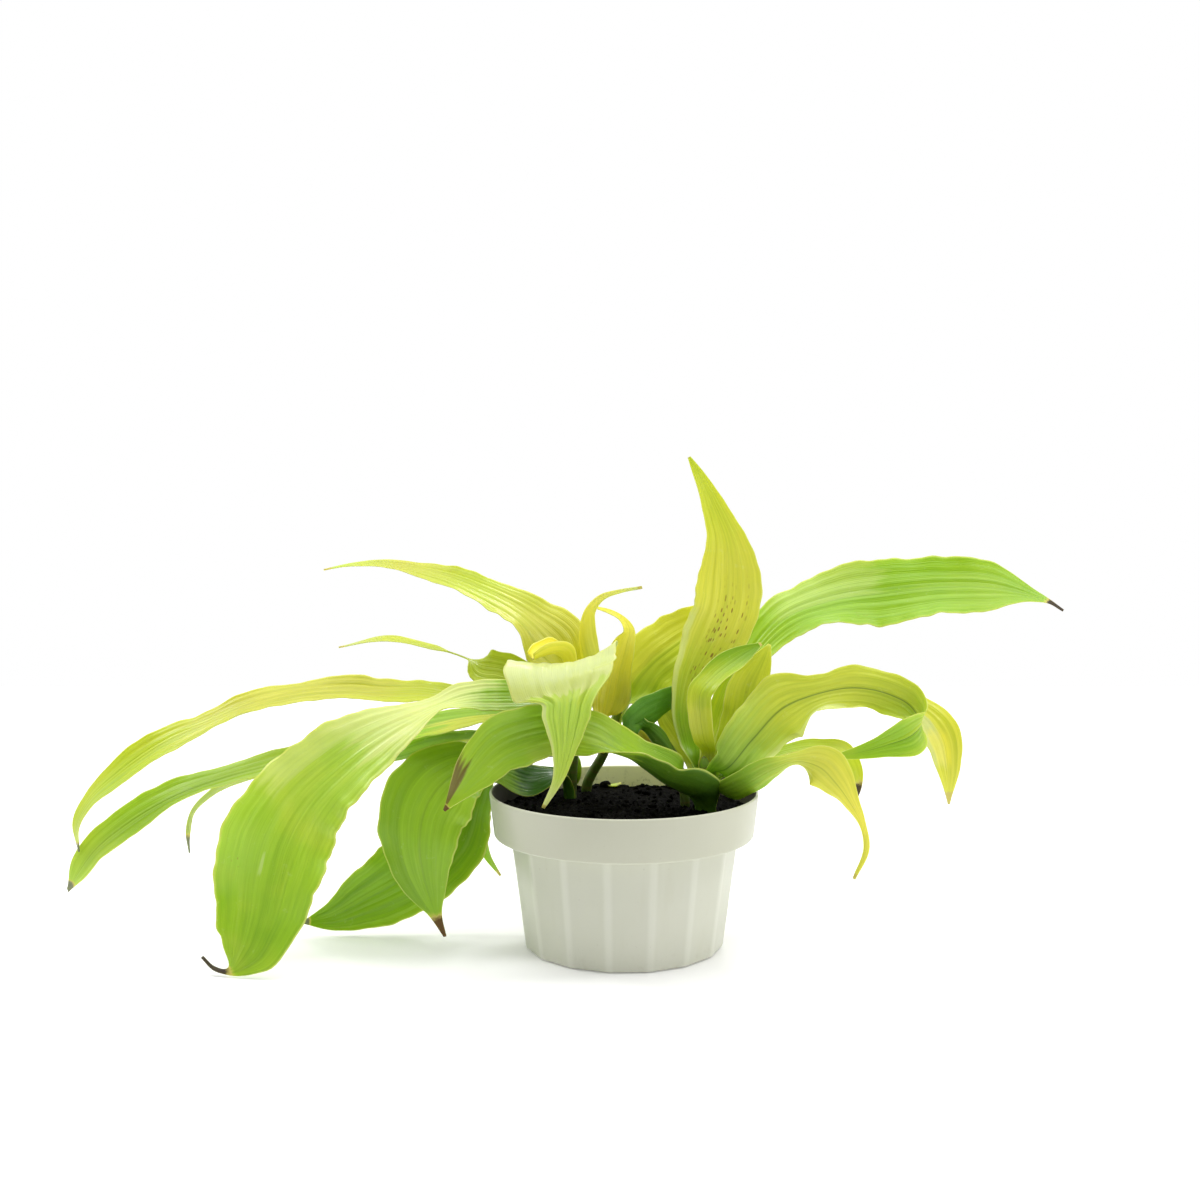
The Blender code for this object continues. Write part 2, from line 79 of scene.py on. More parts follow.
# Soil and its loose crumbs.
SOIL_LEVEL = 60.0
SOIL_ROUGHNESS = 1.1
SOIL_RADIUS = 56.9
SOIL_RINGS = 84
SOIL_STEPS = 260
SOIL_DEPTH = 6
CRUMBS = 620
CRUMB_SIZE = 0.45
CRUMB_LARGEST = 1.9

# Stems, ringed by leaf scars.
STEM_TAPER = 0.1
STEM_TOP = 0.12
STEM_ROWS = 90
STEM_COLUMNS = 36
SCAR_STEP = 4.6
SCAR_WIDTH = 0.42
GAP = 0.3

# Leaves: how thick the solid blade is, and this one at its margin, and its middle more than that.
BLADE = 0.8
MARGIN_THICKNESS = 0.36
MIDDLE_EXTRA = 0.4
# From row to row of points, from column to column, and from one feature to the next.
ROW_STEP = 1.4
COLUMN_STEP = 1.3
RUFFLE_STEP = 13
NICK_STEP = 19
FINE_NICK_STEP = 8.3
SCALLOP_STEP = 27
VEIN_STEP = 0.9
# Depths as parts of the blade's width, and the deepest that pleats and groove get.
WAVE_DEPTH = 0.05
RUFFLE_DEPTH = 0.02
NICK_DEPTH = 0.022
SCALLOP_DEPTH = 0.07
PLEAT_DEPTH = 0.009
PLEAT_DEEPEST = 0.22
GROOVE_DEPTH = 0.012
GROOVE_DEEPEST = 0.35
GROOVE_WIDTH = 0.06
SWELLS = 2.7
# How far up and out a blade leaves its sheath, the part of its length in which it opens, and its
# least width. Then the sheath, and the height below which it reaches into the soil.
RISE = 7.0
SPREAD = 1.8
SETTLE = 0.22
TIP_WIDTH = 1.4
SHEATH_CUP = 150.0
SHEATH_WIDTH = 7.5
SHEATH_DEPTH = 4.0
SHEATH_BURIED = 2.0
LOW_BASE = 67.0
# How far noise is drawn out along a blade, and how soft the edges of its patches are.
STREAK_LENGTH = 40
SPECK_LENGTH = 3.4
SOFT_EDGE = 0.025
CRISP_EDGE = 0.008
SIDE_EDGE = 0.06

# The scrap of leaf on the soil.
SCRAP_PLACE = (-4, 50, SOIL_LEVEL + 1.0)
SCRAP_HALF = (0, 0, 0.25)

# The ground, the dark card and the camera, in metres, with its tilt in degrees.
GROUND_SIZE = 1.7
CARD_RADIUS = 3.0
CARD_FROM = math.radians(-160)
CARD_TO = math.radians(-50)
CARD_RISE = math.radians(62)
CARD_ROWS = 12
CARD_COLUMNS = 24
CAMERA_PLACE = (-0.01067, -0.66595, 0.20669)
CAMERA_DOWN = 4.48
FOCAL = 45.27
SENSOR = 36.0

# The larger clods of soil, most of them towards the back: x, y, size.
CLODS = [
    (-8, 50, 2.4), (-13, 49, 1.5), (10, 51, 1.4), (16, 50, 1.7), (23, 47, 1.5), (29, 43, 1.6),
    (36, 38, 1.4), (2, 52, 1.2), (-22, 46, 1.3), (30, -30, 1.6), (38, -22, 1.3), (-34, -30, 1.4),
]
# Leaves with deeper waves than the rest, how many times; with deeper pleats, how much more and from
# which part of their length on; and with a wider foot: how far outside the other sheaths it lies,
# then its width and cup where it leaves the stem, and how high that is above its base.
WAVY = {"leaf_right_arched": 2.0, "leaf_right_low": 1.6, "leaf_front_wide": 1.5}
PLEATED = {"leaf_front_pale": (1.4, 0.53), "leaf_right_drooping": (1.0, 0.5)}
CLASP = {"leaf_front_wide": (1.3, 18.0, 140.0, 3.0)}

# The way of each stem and leaf, close to that of the solid model. A stem has its radius, then its
# points. A leaf has its stem, base height, facing, heading and cup, then rows along its middle: x,
# y, z, width and roll, and where they differ a turn of its heading and a cup.
STEMS = {
    "stem_left": (2.5, [
        (-24, 29, 52), (-24, 29, 62), (-23, 27, 81), (-22, 24, 99), (-21, 20, 116)]),
    "stem_centre": (2.5, [(-17, 41, 52), (-17, 41, 62), (-9, 38, 79), (-3, 34, 97), (-1, 31, 108)]),
    "stem_slanted": (2.3, [(28, 11, 52), (28, 11, 62), (22, 15, 84), (12, 18, 95), (9, 19, 98)]),
    "stem_right": (2.7, [(37, 2, 52), (37, 2, 62), (37, 3, 72), (36, 4, 84)]),
}
LEAVES = {
    "leaf_upper_left": ("stem_left", 107, 150, 165, 40, [
        (-29, 21, 130, 32, 50), (-43, 26, 145, 27, 28), (-69, 34, 158, 19, 30),
        (-95, 42, 165.5, 13, 25), (-120, 48, 168, 5.5, 25), (-132, 50, 167, 2.6, 25),
        (-142, 51, 165, 1.4, 20)]),
    "leaf_left_twisted": ("stem_left", 99, 158, 165, 45, [
        (-41, 27, 114, 14, 35), (-57, 30, 120, 18, 50), (-67, 33, 121.5, 17, 40),
        (-70.5, 35, 123.2, 6, 10), (-91, 43, 129, 7, 10), (-113, 50, 132, 6, 20),
        (-136, 55, 127.5, 1.4, 10)]),
    "leaf_front_pale": ("stem_left", 105, 262, 262, 30, [
        (-24, 6, 118, 26, -12), (-26, -5, 129.5, 48, -6, 0, 50), (-27.5, -16, 129, 50, -6, 0, 50),
        (-27, -24, 123.5, 46, -7), (-25, -28.5, 118, 41, -5), (-24.5, -30.5, 115.3, 29, -4),
        (-25, -35, 107, 20.5, 0), (-25.5, -38, 97, 12.5, 0), (-28, -41, 83, 5, 0),
        (-34.5, -43, 70.5, 1.4, 0)]),
    "leaf_front_large": ("stem_left", 97, 228, 200, 35, [
        (-42, 8, 110, 16, 40), (-55, 0, 112, 18, 45), (-70, -7, 112, 18, 30),
        (-82, -13, 109, 18, 10), (-92, -18, 105, 24, 25), (-106, -23, 98, 31, 40),
        (-122, -29, 87, 37, 55), (-137, -35, 73, 42, 65), (-146.5, -40, 56, 47, 75),
        (-151, -43, 40, 46, 65), (-154.5, -46, 22, 37, 60), (-159, -48, 10, 25, 60),
        (-166, -48, 2.3, 3.5, 60), (-173, -46, 3, 2, 40), (-178, -45, 7.5, 1.4, 40)]),
    "leaf_left_long": ("stem_left", 91, 140, 180, 50, [
        (-52, 26, 109, 11, 30), (-75, 26, 108, 16, 20), (-94, 24, 110.5, 18, 25),
        (-110, 22, 110.5, 19.5, 25), (-129, 18, 112, 20, 25), (-145, 14, 111.5, 20, 20),
        (-167, 9, 107, 19.5, 25), (-186, 4, 99.5, 18, 25), (-205, 0, 91, 18, 40),
        (-225, -4, 77, 16, 45), (-237, -6, 66, 11, 40), (-242.5, -7, 55.5, 7, 45),
        (-242, -7, 43, 1.4, 30)]),
    "leaf_left_lower": ("stem_left", 89, 212, 182, 50, [
        (-45, 13, 101, 10, 20), (-67, 9, 101, 14, 25), (-85, 7, 98, 16, 35), (-105, 6, 93, 17, 30),
        (-132, 5, 87, 17, 25), (-161, 3, 80, 18, 20), (-179, 0, 75.5, 19, 20),
        (-200, -3, 68, 19, 30), (-222, -6, 55, 19, 45), (-235, -8, 44, 16, 50),
        (-242, -9, 34, 11, 55), (-246.5, -9, 26, 3, 30)]),
    "leaf_left_narrow": ("stem_left", 81, 175, 178, 60, [
        (-45, 21, 89, 10, -20), (-72, 21, 89, 12, 30), (-91, 18, 86, 12, 35), (-109, 16, 81, 9, 30),
        (-140, 16, 77.5, 7, 30), (-166, 15, 73.5, 5.5, 30), (-188, 13, 65, 4.5, 40),
        (-196, 12, 57, 3.5, 45), (-198.5, 12, 47, 3, 60), (-198, 11, 38, 1.4, 20)]),
    "leaf_hanging_left": ("stem_left", 63, 217, 190, 30, [
        (-44, 14, 71.5, 18, 55), (-60, 8, 78.5, 18, 40), (-73, 1, 78, 33, 50),
        (-83, -5, 71, 41, 65), (-89, -8, 60, 39.5, 70), (-90.5, -10, 48, 35, 75),
        (-89.5, -10, 36, 27, 80), (-87, -9, 25, 17, 80), (-84, -7, 15, 6.5, 70),
        (-80, -5, 4, 1.4, 60)]),
    "leaf_hanging_back": ("stem_left", 62, 147, 185, 35, [
        (-46, 30, 71.5, 12, 40), (-61, 25, 77.5, 18, 45), (-74, 22, 62, 32, 70),
        (-82.5, 18, 43, 40, 80), (-101, 15, 25, 36, 80), (-119, 13, 15, 27, 85),
        (-133, 11, 8.5, 14, 85), (-146, 10, 6, 1.4, 60)]),
    "leaf_hanging_tip": ("stem_left", 68, 88, 190, 60, [
        (-40, 43, 77, 6, 0, -40), (-56, 42, 77, 8, 20), (-66, 38, 67, 9, 40), (-69, 35, 55, 9, 50),
        (-67, 32, 44, 8, 50), (-63.5, 28, 33, 5, 50), (-57, 24, 24, 1.4, 40)]),
    "leaf_new_rolled": ("stem_left", 113, 215, 215, 200, [
        (-24, 12, 124, 10, 0), (-27, 7, 131, 16, 0), (-31, 2, 134, 20, 0), (-36, -2, 133, 17, 0),
        (-41, -5, 130, 9, 0)]),
    "leaf_new_spike": ("stem_left", 107, -30, -30, 90, [
        (-14, 15, 125, 11, 20), (-16, 12, 138, 9, 40), (-15, 8, 149, 5.5, 50),
        (-10, 6, 155, 3.5, 50), (-2, 4, 158, 2.4, 45), (8, 2, 160, 1.4, 60)]),
    "leaf_curled_small": ("stem_centre", 84, 240, 200, 70, [
        (-8.5, 27, 98, 11, 75), (-6.5, 25, 106, 20, 80), (-4, 22, 120, 17, 90),
        (0, 18, 133, 11, 95), (2, 16, 140, 7, 70), (-1, 15, 145, 3.5, 65), (-6, 14, 148, 2.5, 65),
        (-12, 13, 150, 1.4, 60)]),
    "leaf_centre_wide": ("stem_centre", 98, 20, 20, 40, [
        (4, 33, 108, 24, -40), (13, 34, 121, 30, -65), (26, 36, 131.5, 31, -55),
        (39, 39, 140, 22, -55), (50, 42, 147, 12, -50), (58, 45, 152, 1.4, -50)]),
    "leaf_dry_small": ("stem_centre", 86, -35, -20, 60, [
        (5, 34, 92, 8, 100), (14, 36, 84, 1.4, 60)]),
    "leaf_centre_dark": ("stem_slanted", 88, -95, 0, 60, [
        (4, 9, 98, 12, 60), (10, 12.5, 102.5, 15, 70), (20, 18, 107, 13, 65),
        (28, 22, 110.5, 7, 65), (34, 25, 113, 1.4, 40)]),
    "leaf_right_inner": ("stem_right", 62, 127, 128, 60, [
        (32, 18, 79, 8, 38), (26, 23, 92, 14, 40), (20, 24, 101, 11, 40), (17, 25, 107, 1.4, 40)]),
    "leaf_tall_upright": ("stem_right", 73, 150, 95, 30, [
        (30, 11, 88, 9, 0), (28, 13, 101, 12, 0), (31.5, 16, 117, 19, 0), (39.5, 19, 132, 28, 0),
        (47, 22, 149, 31, 0), (48.5, 24, 165, 29, 0), (47, 25, 180, 19, 0), (42, 26, 194, 12, 0),
        (36, 26, 207, 7, -20), (30, 26, 218, 1.4, 0)]),
    "leaf_right_far": ("stem_right", 70, 98, 10, 30, [
        (41, 20, 87, 10, -50), (48.3, 26.5, 106, 15, -50), (59, 30.6, 126, 18, -45),
        (76, 34, 144, 27, -40), (97, 35, 152, 34, -40), (122, 34, 155.5, 35, -55),
        (149, 31, 158.5, 32, -50), (173, 27, 158, 26, -50), (188, 24, 154.5, 8, -50),
        (195, 22.7, 152, 2.8, -50), (201, 21, 148, 1.4, -50)]),
    "leaf_right_small": ("stem_right", 78, 58, 60, 60, [
        (36, 2, 91, 10, -15), (34, 1, 103, 11, -20), (34, 1, 113, 12, -10), (41, 4, 121, 13, -10),
        (51, 7, 128, 11, -25), (62, 10, 134, 1.4, -40)]),
    "leaf_right_behind": ("stem_right", 71, 27, 45, 40, [
        (46, 8, 83, 13, -30), (54, 12, 100, 20, -40), (58, 16, 116, 18, -40),
        (63, 18.5, 125, 10, -40), (67, 21, 132.5, 1.4, -40)]),
    "leaf_right_drooping": ("stem_right", 62, 62, 10, 50, [
        (57, 15, 88, 9, -20), (76, 17, 102, 10, -40), (104, 19, 108, 12, -40),
        (127, 18, 106, 16, -45), (139, 16, 100, 18, -60), (145.5, 14, 90, 17, -100),
        (147.5, 12, 78, 12, -100), (148, 11, 60.5, 1.4, -60)]),
    "leaf_right_arched": ("stem_right", 70, -55, 5, 40, [
        (45, -6, 80, 18, 95), (57, -3, 93, 26, 95), (71, 1, 106.5, 29, 95), (86, 4, 112.5, 20, 75),
        (104, 5, 115, 19, 80), (119, 4, 112, 19, 80), (128.5, 1, 107, 18, 80, -30),
        (132, -5, 100, 18, 80, -90), (127, -10, 96, 18, 80, -150), (114, -12, 91.5, 11, 80, -180),
        (103, -12, 88.5, 6, 80, -180), (91, -13, 86.5, 1.4, 80, -180)]),
    "leaf_right_low": ("stem_right", 61, -38, 0, 50, [
        (45, -9.5, 70.5, 13, 70), (53, -13, 75, 14, 65), (64, -16, 82, 13, 60),
        (76, -18, 86.5, 13, 45), (85, -21, 84, 20, 65), (91, -22, 78, 18, 65),
        (97.5, -23, 69, 9, 60), (102.8, -24, 59, 3.5, 55), (104.5, -24, 49, 3, 50),
        (99.5, -23, 35, 1.4, 60)]),
    "leaf_right_lower_back": ("stem_right", 66, -12, 5, 60, [
        (56, 6, 79, 9, -20), (72, 6, 86, 9, -20), (87, 0, 89, 10, -25), (97, -6, 87, 12, -55),
        (101.5, -9, 79, 9, -65), (102, -10, 72, 6, -60), (101, -10, 65, 1.4, -60)]),
    "leaf_front_wide": ("stem_right", 61, 248, 170, 40, [
        (28.5, -10, 72.5, 36, 0, 42, 165), (19.5, -13.5, 82, 43, 2, 15, 165),
        (9, -17, 88.5, 38, -3, 0, 135), (-2, -19, 92.5, 25, 14, 0, 80),
        (-13, -20, 97.5, 25, 40, 0, 60), (-26, -20, 100, 24, 55), (-41, -21, 98, 25, 80),
        (-54, -22, 93, 25, 85), (-65, -23, 82, 18, 90), (-72, -23, 73, 9, 90),
        (-78, -23, 65, 1.4, 50)]),
}

# Colours as seen on the plant and its pot, red, green and blue out of 255.
TONES = {
    # painted shade, on leaf bases and the underside of the wide leaf
    "dark": (48, 104, 2),
    "shade": (72, 114, 4),
    "deep": (100, 142, 8),
    "leaf": (124, 166, 16),
    "fresh": (146, 188, 32),
    "bright": (162, 198, 48),
    "light": (178, 208, 76),
    "lime": (188, 204, 44),
    "lemon": (206, 214, 58),
    "gold": (216, 216, 74),
    "yellow": (250, 238, 84),
    "pale": (216, 226, 140),
    "cream": (228, 234, 176),
    "dull": (178, 192, 104),
    "straw": (196, 186, 96),
    "grey": (120, 126, 92),
    "brown": (104, 72, 28),
    "umber": (66, 54, 36),
    "milk": (206, 214, 146),
    "emerald": (82, 146, 4),
    "mustard": (192, 192, 60),
    "margin": (222, 226, 120),
    "speck": (134, 96, 24),
    "stem_foot": (70, 84, 30),
    "stem_low": (84, 108, 26),
    "stem_high": (100, 132, 32),
    "stem_top": (128, 160, 48),
    "stem_blotch": (62, 74, 26),
    "scar": (112, 96, 52),
    "plastic": (203, 205, 187),
    "plastic_light": (210, 211, 195),
    "yellowed": (190, 190, 164),
    # painted light on the pot's inner wall
    "wall": (240, 238, 206),
    # painted shade on the pot's band
    "band": (184, 184, 160),
    # painted highlight on the pot's facet edges
    "edge": (240, 241, 230),
    # soil stain, and painted shade on the pot's inner wall
    "stain_and_shade": (46, 40, 22),
    "dust": (150, 142, 112),
    "dirt": (150, 146, 122),
}

# Each leaf: tones from base to tip, how much of its tip has dried and to what tone, how yellow
# its patches are, how dark its midrib is, then its own patches: the part of its length from and
# to, the part of its width from and to (-1 to 1), tone, strength, and whether it is only on the
# underside or has crisp edges.
LOOKS = {
    "leaf_upper_left": ("mustard mustard lime mustard light", 0.02, "straw", 0.4, 0.1, []),
    "leaf_left_twisted": ("lemon lime lime lemon dull", 0.02, "straw", 0.3, 0.1, []),
    "leaf_front_pale": ("pale pale pale light light light pale", 0.01, "straw", 0.1, 0.0, [
        (0.12, 0.56, -1.1, 1.1, "milk", 0.8, "crisp"),
        (0.5, 0.6, -1.1, 1.1, "lemon", 0.25),
        (0.6, 1.0, 0.8, 1.1, "milk", 0.6)]),
    # Painted sheen: the pale tone in this leaf's upper part and the two pale patches there.
    "leaf_front_large": ("leaf fresh pale light bright fresh leaf", 0.05, "umber", 0.3, 0.0, [
        (0.22, 0.5, -0.5, 1.1, "pale", 0.5),
        (0.2, 0.62, 0.45, 1.1, "pale", 0.45),
        (0.04, 0.15, -0.9, 0.2, "deep", 0.85),
        (0.725, 0.748, 0.15, 0.18, "cream", 0.6, "crisp")]),
    "leaf_left_long": ("mustard lime mustard mustard lime light", 0.012, "grey", 0.35, 0.1, []),
    "leaf_left_lower": ("leaf fresh bright light bright light", 0.012, "grey", 0.2, 0.3, [
        (0.14, 0.28, -1.1, 0.2, "gold", 0.8)]),
    "leaf_left_narrow": ("shade deep fresh light dull dull", 0.03, "grey", 0.1, 0.1, [
        (0.1, 0.3, -1.1, 0.0, "gold", 0.6)]),
    "leaf_hanging_left": ("deep fresh bright fresh fresh", 0.06, "brown", 0.0, 0.25, [
        # painted shade where the leaf's base lies in shadow
        (-0.1, 0.24, -1.1, 1.1, "dark", 0.92),
        (0.3, 0.9, 0.5, 1.1, "deep", 0.4)]),
    "leaf_hanging_back": ("deep leaf leaf fresh leaf", 0.015, "grey", 0.0, 0.2, [
        # painted shade where the leaf's base lies in shadow
        (-0.1, 0.24, -1.1, 1.1, "dark", 0.92)]),
    "leaf_hanging_tip": ("leaf fresh bright bright", 0.02, "straw", 0.0, 0.1, []),
    "leaf_new_rolled": ("yellow yellow yellow yellow", 0.0, "straw", 0.3, 0.0, []),
    "leaf_new_spike": ("lemon gold yellow pale", 0.02, "straw", 0.1, 0.0, []),
    "leaf_curled_small": ("yellow yellow yellow yellow", 0.0, "straw", 0.2, 0.1, []),
    "leaf_centre_wide": ("bright lime lemon gold", 0.0, "straw", 0.4, 0.15, [
        (-0.1, 1.1, -1.1, -0.1, "gold", 0.75)]),
    "leaf_dry_small": ("leaf lime gold straw", 0.1, "straw", 0.5, 0.1, []),
    "leaf_centre_dark": ("deep emerald emerald emerald", 0.0, "straw", 0.0, 0.2, []),
    "leaf_right_inner": ("bright lime lemon lemon", 0.02, "straw", 0.3, 0.2, []),
    "leaf_tall_upright": ("leaf fresh lime gold gold lemon lime", 0.0, "straw", 0.4, 0.15, [
        (0.1, 0.5, -1.1, -0.78, "pale", 0.7)]),
    "leaf_right_far": ("lemon lime bright fresh fresh fresh fresh", 0.03, "umber", 0.1, 0.15, [
        (0.42, 0.62, -1.1, 0.0, "pale", 0.3)]),
    "leaf_right_small": ("lime gold lime fresh leaf", 0.01, "straw", 0.3, 0.3, [
        (0.05, 0.45, -1.1, 1.1, "gold", 0.5)]),
    "leaf_right_behind": ("bright lime lemon lemon", 0.0, "straw", 0.4, 0.1, []),
    "leaf_right_drooping": ("light lime lemon gold gold", 0.03, "straw", 0.3, 0.2, [
        # painted highlight: a pale strip along one side of the blade
        (0.3, 0.9, 0.05, 1.1, "milk", 0.75),
        (0.8, 0.9, -0.3, 0.7, "yellow", 0.5)]),
    "leaf_right_arched": ("deep light lemon lemon lime fresh fresh", 0.01, "deep", 0.3, 0.75, [
        (0.1, 0.5, -1.1, -0.82, "pale", 0.6)]),
    "leaf_right_low": ("deep fresh gold yellow gold", 0.015, "straw", 0.4, 0.3, [
        (0.04, 0.14, 0.55, 1.1, "pale", 0.7)]),
    "leaf_right_lower_back": ("bright light lime lemon", 0.08, "umber", 0.4, 0.2, []),
    "leaf_front_wide": ("deep fresh bright bright fresh bright fresh", 0.014, "brown", 0.25, 0.1, [
        # painted shade on the underside near the base, which faces away from the light
        (-0.1, 0.36, -1.1, 1.1, "dark", 0.85, "under"),
        (0.86, 1.1, 0.25, 1.1, "brown", 0.85)]),
    "leaf_scrap": ("dull light dull straw", 0.1, "straw", 0.4, 0.1, []),
}
# What a leaf's colour is multiplied by in its dark streaks and on its underside, and what is
# added to it in its light streaks.
STREAK_SHADE = (0.56, 0.68, 0.3, 1)
UNDER_SHADE = (0.84, 0.88, 0.9, 1)
STREAK_LIGHT = (0.1, 0.09, 0.035, 1)
# The soil from its darkest to its lightest grain, and its fibres, as linear colours.
SOIL_TONES = [
    (0.25, (0.001, 0.001, 0.0006, 1)),
    (0.5, (0.0025, 0.0022, 0.0012, 1)),
    (0.68, (0.006, 0.0055, 0.003, 1)),
    (0.82, (0.02, 0.016, 0.009, 1)),
]
FIBRE_TONE = (0.05, 0.036, 0.02, 1)


def tone(name):
    """A named tone as the linear colour that a shader takes."""
    parts = [value / 255 for value in TONES[name]]
    return (*[p / 12.92 if p < 0.04 else ((p + 0.055) / 1.055) ** 2.4 for p in parts], 1)


# Shader nodes. A socket knows its tree, so only a look's first nodes are told which it is.
def fill(inputs, values):
    """Links each input to a socket, or gives it a constant."""
    for key, value in values.items():
        if isinstance(value, bpy.types.NodeSocket):
            value.id_data.links.new(value, inputs[key])
        else:
            inputs[key].default_value = value


def add(tree, kind, values, **settings):
    made = tree.nodes.new("ShaderNode" + kind)
    for key, value in settings.items():
        setattr(made, key, value)
    fill(made.inputs, values)
    return made


def maths(operation, a, b=0.0, clamp=False):
    tree = (a if isinstance(a, bpy.types.NodeSocket) else b).id_data
    made = add(tree, "Math", {0: a, 1: b}, operation=operation, use_clamp=clamp)
    return made.outputs[0]


def times(first, *others):
    for other in others:
        first = maths("MULTIPLY", first, other)
    return first


def plus(a, b, clamp=False):
    return maths("ADD", a, b, clamp)


def minus(a, b):
    return maths("SUBTRACT", a, b)


def step(value, low, high, to_low=0.0, to_high=1.0):
    """Eases from one value to another as the input goes from low to high."""
    values = {0: value, 1: low, 2: high, 3: to_low, 4: to_high}
    return add(value.id_data, "MapRange", values, interpolation_type="SMOOTHSTEP").outputs[0]


def fall(value, low, high):
    return step(value, low, high, 1.0, 0.0)


def mix(factor, a, b, blend="MIX"):
    values = {0: factor, 6: a, 7: b}
    return add(a.id_data, "Mix", values, data_type="RGBA", blend_type=blend).outputs[2]


def tint(colour, where, strength, name):
    """Lays a named tone over the colour."""
    return mix(times(where, strength), colour, tone(name))


def ramp(factor, stops):
    made = add(factor.id_data, "ValToRGB", {0: factor})
    steps = made.color_ramp.elements
    while len(steps) < len(stops):
        steps.new(0.5)
    for element, (place, colour) in zip(steps, stops):
        element.position = place
        element.color = colour
    return made.outputs[0]


def cloud(vector, scale, detail=3.0, rough=0.5):
    values = {"Vector": vector, "Scale": scale, "Detail": detail, "Roughness": rough}
    return add(vector.id_data, "TexNoise", values).outputs[0]


def squeezed(place, scale, turn=(0, 0, 0)):
    values = {"Vector": place, "Scale": scale, "Rotation": turn}
    return add(place.id_data, "Mapping", values).outputs[0]


def vector_of(x, y, z):
    return add(x.id_data, "CombineXYZ", {0: x, 1: y, 2: z}).outputs[0]


def attribute(look, name):
    return add(look.node_tree, "Attribute", {}, attribute_name=name).outputs["Fac"]


def bump(height, strength, distance, before=None):
    values = {"Height": height, "Strength": strength, "Distance": distance}
    if before:
        values["Normal"] = before
    return add(height.id_data, "Bump", values).outputs[0]


def new_look(name):
    """A new material, and the place on the object that its textures read."""
    made = bpy.data.materials.new(name)
    made.use_nodes = True
    return made, add(made.node_tree, "TexCoord", {}).outputs["Object"]


def feed(look, values):
    fill(look.node_tree.nodes["Principled BSDF"].inputs, values)
    return look


